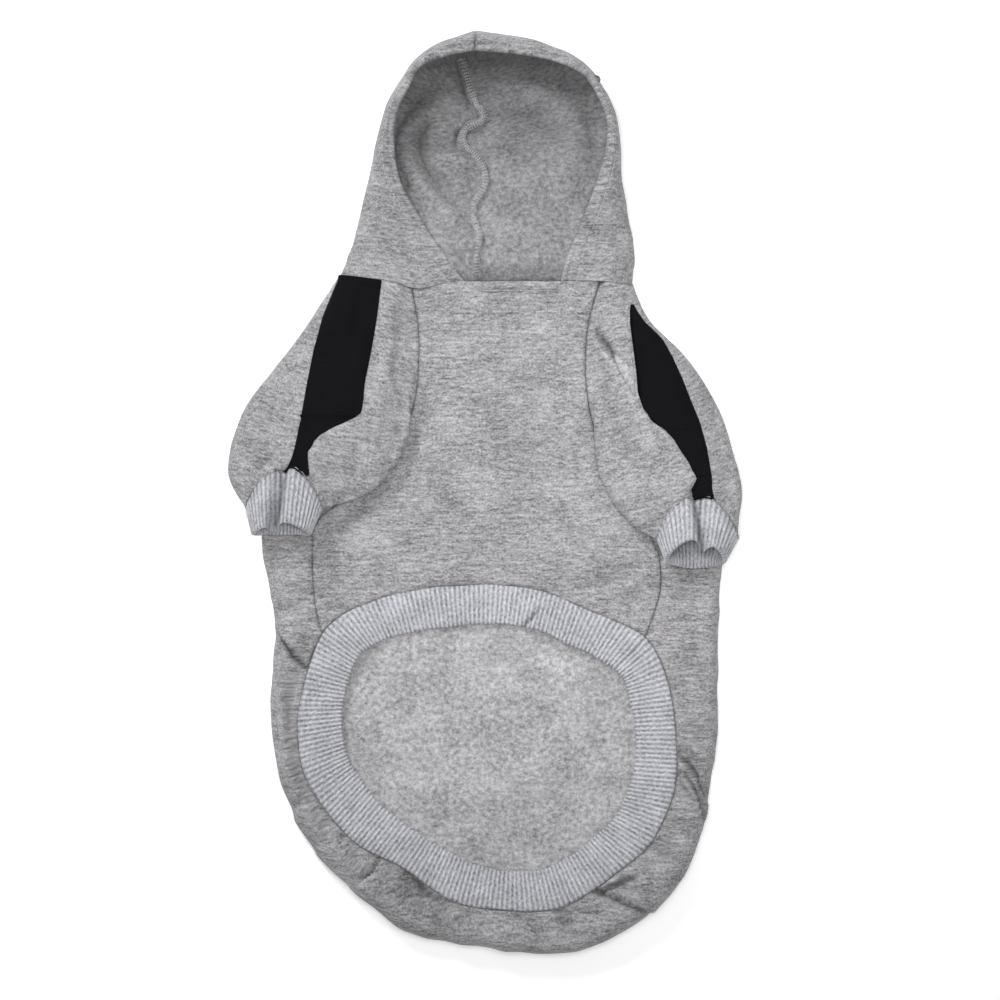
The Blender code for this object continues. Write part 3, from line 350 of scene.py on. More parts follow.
# Slow waves of cloth that lies loose, the long ones and the short ones of each piece.
WAVES = {
    "columns": ("seed", "length", "height"),
    "back": ((5, 46, 0.8), (6, 19, 0.4)),
    "floor of the body": ((23, 62, 0.9), (24, 24, 0.25)),
    "belly": ((11, 55, 0.55), (12, 21, 0.16)),
    "neck": ((8, 18, 0.25),),
    "left": ((31, 34, 0.7), (32, 15, 0.25)),
    "right": ((37, 34, 0.7), (38, 15, 0.25)),
    "hem": ((41, 38, 0.4), (42, 13, 0.12)),
    "hood left": ((51, 40, 0.6), (52, 16, 0.16)),
    "hood right": ((57, 40, 0.6), (58, 16, 0.16)),
}
RIM_ROUND = 2.2       # radius of the rolled edge of the hood's mouth
RIM_SEAM = 4.0        # first groove of the mouth's hem, from its edge


# ---------------------------------------------------------------- shapes of the cut

def mix(a, b, t):
    """A value t of the way from a to b."""
    return a + (b - a) * t


def bell(x, width):
    """A smooth hump, 1 at 0."""
    return math.exp(-(x / width) ** 2)


def step(x):
    """A smooth step from 0 at 0 to 1 at 1."""
    x = min(1.0, max(0.0, x))
    return x * x * (3 - 2 * x)


def row_at(rows, t, closed=False):
    """A table's row at t, 0 to 1, on a smooth line through its rows."""
    span = len(rows) if closed else len(rows) - 1
    place = t * span
    i = min(int(math.floor(place)), span - 1)
    f = place - i

    def row(k):
        if closed:
            return rows[k % len(rows)]
        return rows[max(0, min(len(rows) - 1, k))]

    out = []
    for p, q, r, s in zip(row(i - 1), row(i), row(i + 1), row(i + 2)):
        out.append(0.5 * (2 * q + (r - p) * f + (2 * p - 5 * q + 4 * r - s) * f * f
                          + (3 * q - p - 3 * r + s) * f ** 3))
    return out


def curve(controls, shares):
    """Points on a smooth line through the controls; close controls draw the points closer."""
    ends = [controls[0] * 2 - controls[1]] + controls + [controls[-1] * 2 - controls[-2]]
    spans = [max((b - a).length, 1e-4) ** 0.5 for a, b in zip(ends, ends[1:])]
    reach = [0.0]
    for span in spans[1:-1]:
        reach.append(reach[-1] + span)
    out = []
    i = 0
    for share in shares:
        want = reach[-1] * min(1.0, max(0.0, share))
        while i < len(reach) - 2 and reach[i + 1] < want:
            i += 1
        p0, p1, p2, p3 = ends[i:i + 4]
        t1 = spans[i]
        t2 = t1 + spans[i + 1]
        t3 = t2 + spans[i + 2]
        t = t1 + want - reach[i]
        a1 = p0 * ((t1 - t) / t1) + p1 * (t / t1)
        a2 = p1 * ((t2 - t) / (t2 - t1)) + p2 * ((t - t1) / (t2 - t1))
        a3 = p2 * ((t3 - t) / (t3 - t2)) + p3 * ((t - t2) / (t3 - t2))
        b1 = a1 * ((t2 - t) / t2) + a2 * (t / t2)
        b2 = a2 * ((t3 - t) / (t3 - t1)) + a3 * ((t - t1) / (t3 - t1))
        out.append(b1 * ((t2 - t) / (t2 - t1)) + b2 * ((t - t1) / (t2 - t1)))
    return out


def stations(rows, steps):
    """The rows of a table with smooth rows between them."""
    count = (len(rows) - 1) * steps
    return [row_at(rows, n / count) for n in range(count + 1)]


# The neck seam's bends: height, x of the middle, and width.
NECK_LEFT = (3.6, -70, 7)
NECK_RIGHT = (-3.2, 76, 5)
NECK_DIP = (4.6, -38, 13)


def neck_dip(x, z):
    """How far the neck seam leaves a straight line; the upper layer dips at the raglan."""
    left = NECK_LEFT[0] / (1 + np.exp((x - NECK_LEFT[1]) / NECK_LEFT[2]))
    right = NECK_RIGHT[0] / (1 + np.exp(-(x - NECK_RIGHT[1]) / NECK_RIGHT[2]))
    rise = np.clip(z / 9, 0, 1)
    low = np.clip((z - 2.2) / 2, 0, 1)
    dip = NECK_DIP[0] * np.exp(-((x - NECK_DIP[1]) / NECK_DIP[2]) ** 2)
    dip *= low * low * (3 - 2 * low)
    return (left + right) * rise * rise * (3 - 2 * rise) - dip


def settle(points):
    """Curves the neck line, keeps points above the surface and moves them to the origin."""
    x, y, z = points[..., 0], points[..., 1], points[..., 2]
    y = y + neck_dip(x, z) * np.exp(-((y - NECK_Y) / NECK_REACH) ** 2)
    return np.stack([x + SHIFT_X, y, np.maximum(0.0, z)], axis=-1) * MM


def hem_point(place, share):
    """On the rib hem: share 0 is its seam, 1 its inner edge. Negative is outside it."""
    sx, sy, sz, ix, iy, iz = row_at(HEM_ROWS, place % 1.0, True)
    return Vector((mix(sx, ix, share), mix(sy, iy, share), mix(sz, iz, share)))


def hem_seam(place, gap):
    """A point gap mm inside the seam of the rib hem, or outside it if gap is below 0."""
    seam, inner = hem_point(place, 0), hem_point(place, 1)
    return hem_point(place, gap / (seam - inner).length)


# Back panel: a loop of stations, each a line from the seam round the fold to the surface.

LOW_PLACE = -0.4      # where a station's line has come onto the surface
INWARD = 30.0         # mm on the surface for each unit below place 0
BODY_MIDDLE = Vector((0, -60, 0))
GATHER_MIDDLE = 0.78  # place on a station's line where the gathers are deepest
GATHER_REACH = 0.22


def flat_row(x, y):
    """A station whose edge lies on the surface."""
    inward = (BODY_MIDDLE - Vector((x, y, 0))).normalized() * INWARD
    return (x, y, x + inward.x, y + inward.y, 0.0, 2.0, 0.0)


def armhole_rows(side, steps):
    """Neck to underarm: fold, seam, share of the fold, seam height, fold height."""
    rows = [flat_row(line[4], line[5]) for line in SLEEVE[side][:RAGLAN_ROWS]]
    for fx, fy, sx, sy, share, high in ARMHOLE[side]:
        rows.append((fx, fy, sx, sy, share, high - 1.0, high))
    fx, fy, sx, sy, sz, high = SIDE[side][0]
    rows.append((fx, fy, sx, sy, 1.0, sz, high))
    return stations(rows, steps)[:-1]


def side_rows(side, steps):
    """Underarm to rib hem."""
    rows = [(fx, fy, sx, sy, 1.0, sz, high) for fx, fy, sx, sy, sz, high in SIDE[side]]
    fx, fy, high = TAIL_FOLD["hem " + side]
    corner = HEM_ROWS[0] if side == "left" else HEM["belly"][-1]
    rows.append((fx, fy, corner[0], corner[1], 1.0, corner[2], high))
    return stations(rows, steps)


def tail_rows(steps):
    """Right side seam to the left one, round the rib hem."""
    folds = [TAIL_FOLD["hem right"]] + list(TAIL_FOLD["rows"]) + [TAIL_FOLD["hem left"]]
    made = stations(folds, steps)
    out = []
    for n, (fx, fy, high) in enumerate(made):
        place = mix(BELLY_SHARE, 1.0, n / (len(made) - 1))
        seam = hem_seam(place, -GAP / 2)
        out.append(((fx, fy, seam.x, seam.y, 1.0, seam.z, high), place))
    return out[1:-1]


def gather_at(place):
    """Depth of the gathers at a place round the hem."""
    return sum(depth * bell(place - at, width) for at, depth, width in GATHERS["rows"])


def fold_point(p, width, seam_z, high):
    """Distance in from the fold, and height, at a place p on a station's line."""
    radius = min(high / 2, width * 0.4)
    if p > 0.5:
        f = (p - 0.5) / 0.5
        return mix(radius, width - GAP / 2, f), mix(high, seam_z, step(f))
    if p < 0:
        return radius - p * INWARD, 0.0
    angle = math.pi * (p / 0.5) - math.pi / 2
    return radius * (1 - math.cos(angle)), high / 2 * (1 + math.sin(angle))


def back_line(row, place, places):
    """A station's line, and how far round its fold the panel's edge has come."""
    fx, fy, sx, sy, share, seam_z, high = row
    share = min(1.0, max(0.0, share))
    high = max(0.0, high)
    inward = Vector((sx - fx, sy - fy, 0))
    width = inward.length
    inward.normalize()
    line = []
    for full in places:
        p = LOW_PLACE + (share - LOW_PLACE) * (full - LOW_PLACE) / (1 - LOW_PLACE)
        away, up = fold_point(p, width, seam_z, high)
        if share < 0.01:
            away += GAP / 2
        sink = gather_at(place) * bell(p - GATHER_MIDDLE, GATHER_REACH) * share
        at = Vector((fx, fy, 0)) + inward * (away + sink * 0.5 * bell(p - 0.5, 0.15))
        at.z = max(0.0, up - sink)
        at.y = min(at.y, NECK_Y - GAP / 2)
        line.append(at)
    return line, share, inward


def belly_rows(steps):
    """Belly panel rows, with a corner at the underarm."""
    rows = BELLY["rows"]
    split = len(rows) - len(SIDE["left"]) - 1
    return stations(rows[:split + 1], steps)[:-1] + stations(rows[split:], steps)


def belly_point(row, along, across):
    """On the belly panel: along 0 is the neck, 1 the rib hem."""
    lx, ly, rx, ry, edge_z, middle_z = row
    bow = step((along - 0.45) / 0.55)
    low = hem_seam(across * BELLY_SHARE, -GAP * 0.7)
    start, end = hem_seam(0, -GAP * 0.7), hem_seam(BELLY_SHARE, -GAP * 0.7)
    x = mix(lx + GAP / 2, rx - GAP / 2, across) + bow * (low.x - mix(start.x, end.x, across))
    edge_y = mix(ly, ry, across) + bow * (low.y - mix(start.y, end.y, across))
    gone = (2 * NECK_Y - ly - ry) / (2 * NECK_Y - start.y - end.y)
    side = abs(2 * across - 1) ** 3
    y = mix(mix(NECK_Y, low.y, gone), edge_y, side)
    z = mix(mix(middle_z, edge_z, side), low.z, bow ** 4)
    if along > 0.999:
        inset = GAP / 2 * (1 - 2 * across) * side
        return Vector((low.x + inset, low.y, low.z))
    return Vector((x, min(y, NECK_Y - GAP / 2), z))


CUFF_TILT = {"left": 0.4, "right": 0.62}   # lean of each cuff's opening towards the tail
CUFF_STEP = {"left": 3.4, "right": 3.0}    # the front lobe of a cuff lies this much higher


def cuff_point(side, share, angle, grow=0.0):
    """On a cuff: share 0 is its seam, 1 its opening; the angle goes from the inner side up."""
    x, y, z, ox, oy, oz, half, open_half, deep, arch, open_arch = CUFF[side]
    at_seam, at_opening, seam_depth, opening_depth = CUFF_VALLEY[side]
    turn = 1 if side == "left" else -1
    wide = math.cos(angle)
    at = Vector((mix(x, ox, share), mix(y, oy, share), mix(z, oz, share)))
    at.x += turn * (mix(half, open_half, share) + grow) * wide
    at.y -= mix(arch + CUFF_ARCH, open_arch, share) * (wide * wide - 0.4)
    up = math.sin(angle)
    away = wide - mix(at_seam, at_opening, share)
    valley = bell(away, 0.13 if away > 0 else 0.26) * max(0.0, up) ** 0.5
    pinch = mix(seam_depth, opening_depth, share) * valley
    lobe = (0.5 + 0.5 * math.tanh((away - 0.06) / 0.05)) * bell(away - 0.3, 0.55)
    pinch -= CUFF_STEP[side] * lobe * max(0.0, up) ** 0.5 * step(share / 0.15)
    gape = mix(1.0, CUFF_GAPE[side], share)
    lobes = 0.7 * share * math.sin(3 * angle + 0.6) + 0.5 * share * math.sin(5 * angle + 2.0)
    lean = mix(CUFF_DEPTH_AXIS.y, CUFF_TILT[side], share)
    deep_way = Vector((0, lean, math.sqrt(1 - lean * lean)))
    return at + deep_way * ((deep * gape + grow + lobes) * up - pinch)


def overlap_at(side, y):
    """Where the edge of the sleeve's fold crosses a height y, and how deep it is turned in."""
    rows = OVERLAP[side]
    if y >= rows[0][1]:
        return rows[0][0], rows[0][2]
    for (ax, ay, a), (bx, by, b) in zip(rows, rows[1:]):
        if y >= by:
            f = (ay - y) / (ay - by)
            return mix(ax, bx, f), mix(a, b, f)
    return rows[-1][0], rows[-1][2]


def across_at(line, y):
    """X of a line seen from above at a height y."""
    for (ax, ay), (bx, by) in zip(line, line[1:]):
        if y >= by:
            return mix(ax, bx, min(1.0, max(0.0, (ay - y) / (ay - by))))
    return line[-1][0]


def overlap_reach(side, front, out, wide):
    """Distance from the front seam to the edge of the sleeve's fold, and its depth."""
    reach, deep = 0.5 * wide, 0.0
    for _ in range(4):
        x, deep = overlap_at(side, front.y + out.y * reach)
        reach = abs(x - front.x) / abs(out.x)
    return min(max(reach, 10.0), wide - mix(6.0, 2.0, step(deep / OVERLAP_FULL))), deep


TOP_LINE = ((0.0, 0.7), (0.22, 0.93), (0.45, 1.0), (0.7, 0.97), (0.88, 0.85), (0.975, 0.66),
            (1.0, 0.55))


def top_line(share):
    """Height of a sleeve's upper layer across it, as a share of its whole height."""
    for (a, up), (b, high) in zip(TOP_LINE, TOP_LINE[1:]):
        if share <= b:
            return mix(up, high, max(0.0, (share - a) / (b - a)))
    return TOP_LINE[-1][1]


# The line round the edge of a sleeve's fold: distance from the edge where there is no fold,
# where there is one, whether the depth turned in counts too, and the drop from its crest.
FOLD_LINE = {
    "columns": ("flat", "folded", "times turned in", "drop"),
    "rows": ((-2.2, -1.2, 0, 0.5), (0.0, 0.0, 0, 1.9), (2.0, -1.3, 0, 3.4), (4.0, 0.0, 1, 3.8),
             (6.0, -1.0, 1, 4.5), (8.0, 1.0, 1, 5.1), (10.0, 1.5, 0, 4.9)),
}


def sleeve_section(side, row):
    """Controls round a sleeve, with the fold of its front over its outer part."""
    fx, fy, ox, oy, bx, by, high, rest, back_z, front_z, tuck, round_share, arch = row
    front, fold, back = Vector((fx, fy, 0)), Vector((ox, oy, 0)), Vector((bx, by, 0))
    out = (fold - front).normalized()
    wide = (fold - front).length
    under = (back - fold).normalized()
    deep = (back - fold).length
    tuck = min(1.0, max(0.0, tuck))
    reach = TUCK_REACH
    edge, turned = overlap_reach(side, front, out, wide)
    full = step(turned / OVERLAP_FULL)
    near = min(0.16 * wide, 0.5 * edge) / 0.16
    open_edge = ((GAP / 2, 0.0), (0.04 * near, 0.5), (0.08 * near, 1.2), (0.12 * near, 2.2),
                 (0.16 * near, 3.4))
    tucked = ((GAP / 2, -0.4), (0.1, 1.5), (-0.5 * reach, 3.1), (-reach, 6.5),
              (-0.7 * reach, 10.0))
    controls = []
    for (d0, z0), (d1, z1) in zip(open_edge, tucked):
        up = front_z + mix(z0, z1, tuck)
        controls.append(front + out * mix(d0, d1, tuck) + Vector((0, 0, up)))
    last = mix(0.16 * near, -0.7 * reach, tuck)
    first = max(edge - 5, 0.7 * edge)

    def place(d, lift):
        up = mix(rest, high, top_line(d / wide)) + lift
        controls.append(front + out * d + Vector((0, 0, up)))

    rise = OVERLAP_RISE * full
    place(mix(last, first, 0.45), 0.5 * rise)
    room = min(1.0, (wide - edge) / 14)
    crest = mix(rest, high, top_line(edge / wide)) + rise
    crown = ((first - edge, first - edge, 0, 0.0),)
    for flat, folded, times, drop in crown + FOLD_LINE["rows"]:
        folded -= times * turned
        d = min(0.97 * wide, edge + mix(flat * (room if flat > 0 else 1), folded, full))
        up = mix(mix(rest, high, top_line(d / wide)), crest - drop, full)
        controls.append(front + out * d + Vector((0, 0, up)))
    start = min(0.96 * wide, edge + mix(10.0 * room, 1.5, full))
    for share, low in ((0.3, 0.7), (0.62, 0.3)):
        place(mix(start, 0.975 * wide, share), -3.0 * full * low)
    controls.append(front + out * (0.975 * wide) + Vector((0, 0, mix(rest, high, 0.66))))
    controls.append(fold + Vector((0, 0, mix(rest, high, 0.4))))
    for inward, up in ((0.1, 0.14), (0.24, 0.02), (0.5, 0.0), (0.8, 0.0)):
        controls.append(fold + under * (deep * inward) + Vector((0, 0, mix(rest, high, up))))
    controls.append(back - under * GAP + Vector((0, 0, back_z)))
    for p in controls:
        spot = 2 * (p - front).dot(out) / wide - 1
        p.y += arch * max(0.0, 1 - spot * spot) * step((p.z - front_z) / 6)
    return controls, round_share


OVAL_START = -1.15    # angle of the underarm seam on the oval
OVAL_TURN = 2 * math.pi - 0.03              # all round, but for the seam itself
OVAL_GROW = 0.6       # the sleeve is eased into the cuff
OVAL_PLACE = -2 * GAP / CUFF_LONG           # just outside the cuff's seam
# The sleeve's end goes down inside the cuff: places on the cuff, and distances out of it.
SLEEVE_END = ((0.0, 0.35), (0.012, -0.3), (0.035, -1.0))
TURN_CONTROLS = 11    # controls from the front seam to the bottom of the sleeve's fold
# Where the bottom of the sleeve's fold and the tape's outer edge meet the cuff, as places
# across it from 1 at the front to -1 at the back.
FOLD_END = {"left": 0.5, "right": 0.1}
TAPE_END = {"left": 0.0, "right": -0.36}
SLEEVE_GRAIN = {"left": -0.2, "right": 0.26}    # lean of the courses, in radians


def fold_share(side, row):
    """Where round a sleeve the bottom of its fold lies, as a share of the way round."""
    controls, _ = sleeve_section(side, row)
    spans = [max((b - a).length, 1e-4) ** 0.5 for a, b in zip(controls, controls[1:])]
    return sum(spans[:TURN_CONTROLS - 1]) / sum(spans)


def oval_angle(side, u, turned):
    """Angle on the cuff for a share of the way round; the fold meets the cuff's crease."""
    crease = math.acos(FOLD_END[side])
    if u < turned:
        return mix(OVAL_START, crease, u / turned)
    return mix(crease, OVAL_START + OVAL_TURN, (u - turned) / (1 - turned))


def sleeve_row(side, row, shares):
    """Points round a sleeve, from the front seam over the outer fold to the back seam."""
    controls, round_share = sleeve_section(side, row)
    points = curve(controls, shares)
    round_share = step(min(1.0, max(0.0, round_share)))
    if round_share > 0:
        turned = fold_share(side, row)
        for n, u in enumerate(shares):
            angle = oval_angle(side, u, turned)
            points[n] = points[n].lerp(cuff_point(side, OVAL_PLACE, angle, OVAL_GROW),
                                       round_share)
    for p in points:
        p.y = min(p.y, NECK_Y - GAP / 2)
    return points


def hood_section(row):
    """Controls of a hood half: mouth, shoulder, side fold, then along the surface."""
    sx, sy, fx, fy, ex, ey, edge_z, high, shoulder = row
    seam, fold, edge = Vector((sx, sy, 0)), Vector((fx, fy, 0)), Vector((ex, ey, 0))
    out, wide = (fold - edge).normalized(), (fold - edge).length
    under, deep = (seam - fold).normalized(), (seam - fold).length
    radius = min(high * 0.4, deep * 0.45)
    controls = []
    for share, up in ((0.0, 0.0), (0.3, shoulder), (0.6, 0.9)):
        controls.append(edge + out * (wide * share) + Vector((0, 0, mix(edge_z, high, up))))
    for share, up in ((0.84, 0.9), (0.965, 0.69)):
        controls.append(edge + out * (wide * share) + Vector((0, 0, high * up)))
    controls.append(fold + Vector((0, 0, high * 0.42)))
    controls.append(fold + under * (radius * 0.28) + Vector((0, 0, high * 0.14)))
    for share in (0.0, 0.3, 0.65, 1.0):
        controls.append(fold + under * mix(radius, deep, share))
    return controls


def hood_row(side, along, shares):
    """Points from the hood's mouth over its side fold to its back seam."""
    points = curve(hood_section(row_at(HOOD[side], along)), shares)
    apart = -GAP / 2 if side == "left" else GAP / 2
    for p in points:
        p.x += apart
        p.y = max(p.y, NECK_Y + GAP / 2)
        p.z = max(0.0, p.z)
    return points


# ---------------------------------------------------------------- relief

def grid_of(rows):
    """Lines of points as one array, in mm."""
    return np.array([[tuple(p) for p in line] for line in rows], float)


def grid_normals(grid, closed=False):
    """Directions square to a grid of points, from its neighbours."""
    if closed:
        along = np.roll(grid, -1, axis=0) - np.roll(grid, 1, axis=0)
    else:
        along = np.gradient(grid, axis=0)
    normal = np.cross(along, np.gradient(grid, axis=1))
    return normal / np.maximum(np.linalg.norm(normal, axis=-1, keepdims=True), 1e-9)


def lengths(grid, axis):
    """Distance along the grid's lines from their first points."""
    gone = np.linalg.norm(np.diff(grid, axis=axis), axis=-1)
    start = np.zeros_like(np.take(gone, [0], axis=axis))
    return np.cumsum(np.concatenate([start, gone], axis=axis), axis=axis)


def crease_relief(name, grid, strength):
    """Height of a piece's creases, soft troughs, some with one bank raised, and the share
    of light that doesn't reach into them."""
    x, y = grid[..., 0], grid[..., 1]
    total, shade = np.zeros(x.shape), np.zeros(x.shape)
    marks = [n / CREASE_STEPS for n in range(CREASE_STEPS + 1)]
    for sx, sy, bx, by, ex, ey, depth, width, lip in CREASES[name]:
        best = np.full(x.shape, 1e9)
        side = np.zeros(x.shape)
        along = np.zeros(x.shape)
        line = []
        for t in marks:
            line.append(tuple((1 - t) ** 2 * a + 2 * t * (1 - t) * (2 * b - (a + c) / 2)
                              + t * t * c for a, b, c in ((sx, bx, ex), (sy, by, ey))))
        for (ax, ay), (cx, cy), t in zip(line, line[1:], marks):
            dx, dy = cx - ax, cy - ay
            raw = ((x - ax) * dx + (y - ay) * dy) / (dx * dx + dy * dy)
            f = np.clip(raw, 0, 1)
            far = np.hypot(x - ax - f * dx, y - ay - f * dy)
            near = far < best
            best = np.where(near, far, best)
            side = np.where(near, np.sign(dx * (y - ay) - dy * (x - ax)), side)
            along = np.where(near, t + f / CREASE_STEPS, along)
        taper = np.sin(np.pi * np.clip(along, 0.03, 0.97)) ** 0.6
        trough = depth * np.exp(-(best / width) ** 2)
        raised = best * side * (1 if lip > 0 else -1)
        if abs(lip) >= TUCK_LIP:
            over = 0.5 + 0.5 * np.tanh(raised / TUCK_EDGE)
            bank = abs(lip) * np.exp(-(best / (2.4 * width)) ** 2)
            total += taper * (over * bank - (1 - over) * trough)
            line = np.exp(-(best / TUCK_SHADE) ** 2)
            shade += taper * (LIP_SHADE * (1 - over) - LIP_LIGHT * over) * line
        else:
            bank = abs(lip) * np.exp(-((best - 1.9 * width) / (1.1 * width)) ** 2)
            total += taper * (bank * np.where(raised > 0, 1, 0.25) - trough)
            dark = min(TROUGH_DARKEST, TROUGH_SHADE * depth)
            shade += taper * dark * np.exp(-(best / (0.75 * width)) ** 2)
    return total * strength, np.clip(shade, -0.15, 0.7)


def reach_inside(x, y, loop):
    """How far inside a closed line seen from above a point lies, 0 outside it."""
    best = np.full(x.shape, 1e9)
    inside = np.zeros(x.shape, bool)
    for (ax, ay), (bx, by) in zip(loop, loop[1:] + loop[:1]):
        dx, dy = bx - ax, by - ay
        f = np.clip(((x - ax) * dx + (y - ay) * dy) / (dx * dx + dy * dy), 0, 1)
        best = np.minimum(best, np.hypot(x - ax - f * dx, y - ay - f * dy))
        cross = ((ay > y) != (by > y)) & (x < ax + (y - ay) * dx / (dy or 1e-9))
        inside ^= cross
    return np.where(inside, best, 0.0)


def slow_waves(grid, seed, reach, height):
    """Soft unevenness of cloth that lies loose: a few waves in all directions."""
    made = random.Random(seed)
    x, y, z = grid[..., 0], grid[..., 1], grid[..., 2]
    total = np.zeros(x.shape)
    for _ in range(9):
        turn = made.uniform(0, math.pi)
        lean = made.uniform(-0.6, 0.6)
        length = reach * made.uniform(0.55, 1.6)
        phase = made.uniform(0, 2 * math.pi)
        total += np.sin((x * math.cos(turn) + y * math.sin(turn) + z * lean)
                        * 2 * math.pi / length + phase)
    return total * height / 3


def loose_waves(grid, name):
    """All the slow waves of a piece."""
    return sum(slow_waves(grid, *wave) for wave in WAVES[name])


def seam_groove(distance, depth=0.9, reach=1.7):
    """Relief where a seam draws the cloth in."""
    return -depth * np.exp(-(distance / reach) ** 2)


def seam_shade(distance, depth=0.35, reach=0.9):
    """Share of light that a seam's groove keeps out."""
    return depth * np.exp(-(distance / reach) ** 2)


def puckers(gone, distance, seed, pitch, depth, reach):
    """Small uneven waves where cloth is drawn up on a seam."""
    made = random.Random(seed)
    total = np.zeros(gone.shape)
    for _ in range(4):
        length = pitch * made.uniform(0.7, 1.5)
        total += np.sin(gone * 2 * math.pi / length + made.uniform(0, 2 * math.pi))
    return total * depth / 2.5 * np.exp(-(distance / reach) ** 2)


# ---------------------------------------------------------------- meshes

def settings():
    """The garment's sizes, as set in the panel."""
    return bpy.context.scene.hoodie_sizes


def colours():
    """The garment's colours, as set in the panel."""
    return bpy.context.scene.hoodie_colours


def finish_mesh(bm, name, slots, smooth=True):
    """Turns a bmesh into an object with its materials."""
    mesh = bpy.data.meshes.new(name)
    bm.to_mesh(mesh)
    bm.free()
    for slot in slots:
        mesh.materials.append(slot)
    for face in mesh.polygons:
        face.use_smooth = smooth
    piece = bpy.data.objects.new(name, mesh)
    bpy.context.scene.collection.objects.link(piece)
    return piece


def cloth(name, points, flat, slots, outward, closed=(False, False), wall=None, weights=None,
          shade=None):
    """A grid of cloth. Its points are in mm, flat is where each lay in the cut, in mm.

    outward is the direction of the outside at each point, closed says whether the rows and
    the columns meet round a tube, wall is the cloth's thickness in mm, weights its share at
    each point, and shade the share of light that doesn't reach into the creases.
    """
    rows, cols = points.shape[:2]
    places = settle(points)
    bm = bmesh.new()
    bmesh.ops.create_grid(bm, x_segments=cols - 1, y_segments=rows - 1, size=1)
    grain = bm.loops.layers.uv.new("grain")
    layer = bm.verts.layers.deform.verify()
    dim = bm.verts.layers.float.new("crease_shade")
    index = {}
    for vert in bm.verts:
        j = round((vert.co.x + 1) / 2 * (cols - 1))
        i = round((vert.co.y + 1) / 2 * (rows - 1))
        index[vert] = (i, j)
        vert.co = places[i, j]
    share = 0.0
    for face in bm.faces:
        face.normal_update()
        i, j = index[face.verts[0]]
        share += face.normal.dot(Vector(outward[i, j]))
        for loop in face.loops:
            i, j = index[loop.vert]
            loop[grain].uv = flat[i, j] * MM
    for vert, (i, j) in index.items():
        if shade is not None:
            vert[dim] = float(shade[i, j])
        if weights is not None:
            vert[layer][0] = float(weights[i, j])
    ends = []
    for vert, (i, j) in index.items():
        if (closed[0] and i in (0, rows - 1)) or (closed[1] and j in (0, cols - 1)):
            ends.append(vert)
    if ends:
        bmesh.ops.remove_doubles(bm, verts=ends, dist=1e-6)
    if share < 0:
        bmesh.ops.reverse_faces(bm, faces=bm.faces)
    piece = finish_mesh(bm, name, slots)
    if weights is not None:
        piece.vertex_groups.new(name="thickness")
    if wall:
        solid = piece.modifiers.new("wall", "SOLIDIFY")
        solid.thickness = wall * MM
        solid.offset = -1
        solid.material_offset = 1 if len(slots) > 1 else 0
        if weights is not None:
            solid.vertex_group = "thickness"
    return piece


def hand_over(piece, nodes=()):
    """Ties a piece of cloth to the model's body and hides the solids it replaces."""
    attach(piece, "root")
    if nodes:
        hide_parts(*nodes)
    return piece


def even(count):
    """Shares from 0 to 1, equally far apart."""
    return [n / (count - 1) for n in range(count)]


# ---------------------------------------------------------------- materials

def linear(value):
    """An sRGB hex colour as linear red, green, blue."""
    out = []
    for k in (1, 3, 5):
        c = int(value[k:k + 2], 16) / 255
        out.append(c / 12.92 if c <= 0.04045 else ((c + 0.055) / 1.055) ** 2.4)
    return tuple(out)


def node(tree, kind, values=None, links=None, **props):
    """Adds a node with its settings, socket values and links."""
    made = tree.nodes.new(kind)
    for key, value in props.items():
        setattr(made, key, value)
    for key, value in (values or {}).items():
        made.inputs[key].default_value = value
    for key, source in (links or {}).items():
        tree.links.new(source, made.inputs[key])
    return made


def start_material(name, roughness, sheen, sheen_roughness=0.5, specular=0.25):
    """A matt cloth finish, its tree, its shader and the cloth's own coordinates."""
    found = bpy.data.materials.get(name)
    if found:
        bpy.data.materials.remove(found)
    made = bpy.data.materials.new(name)
    made.use_nodes = True
    tree = made.node_tree
    shader = tree.nodes["Principled BSDF"]
    shader.inputs["Roughness"].default_value = roughness
    shader.inputs["Specular IOR Level"].default_value = specular
    shader.inputs["Sheen Weight"].default_value = sheen
    shader.inputs["Sheen Roughness"].default_value = sheen_roughness
    grain = node(tree, "ShaderNodeUVMap", uv_map="grain")
    return made, tree, shader, grain.outputs["UV"]


def scaled(tree, vector, across, along, shift=0.0):
    """The pattern's coordinates: one unit is `across` mm over the grain, `along` mm with it."""
    made = node(tree, "ShaderNodeMapping", {"Scale": (1 / (across * MM), 1 / (along * MM), 1),
                                            "Location": (shift, shift * 0.7, shift * 1.3)},
                {"Vector": vector})
    return made.outputs["Vector"]


def ramp(tree, factor, stops):
    """Colours at stops along a value."""
    made = node(tree, "ShaderNodeValToRGB", links={"Fac": factor})
    elements = made.color_ramp.elements
    while len(elements) > len(stops):
        elements.remove(elements[-1])
    while len(elements) < len(stops):
        elements.new(1.0)
    for element, (at, colour) in zip(elements, stops):
        element.position = at
        element.color = (*colour, 1)
    return made.outputs["Color"]


def toned(colour, factor):
    """A colour, darker below 1 and lighter above it."""
    return tuple(c * factor for c in colour)


def noise(tree, uv, across, along, shift=0.0, detail=2.0, roughness=0.5):
    """Cloudy noise whose features are about `across` by `along` mm on the cloth."""
    made = node(tree, "ShaderNodeTexNoise",
                {"Scale": 1.0, "Detail": detail, "Roughness": roughness},
                {"Vector": scaled(tree, uv, across, along, shift)})
    return made.outputs["Fac"]


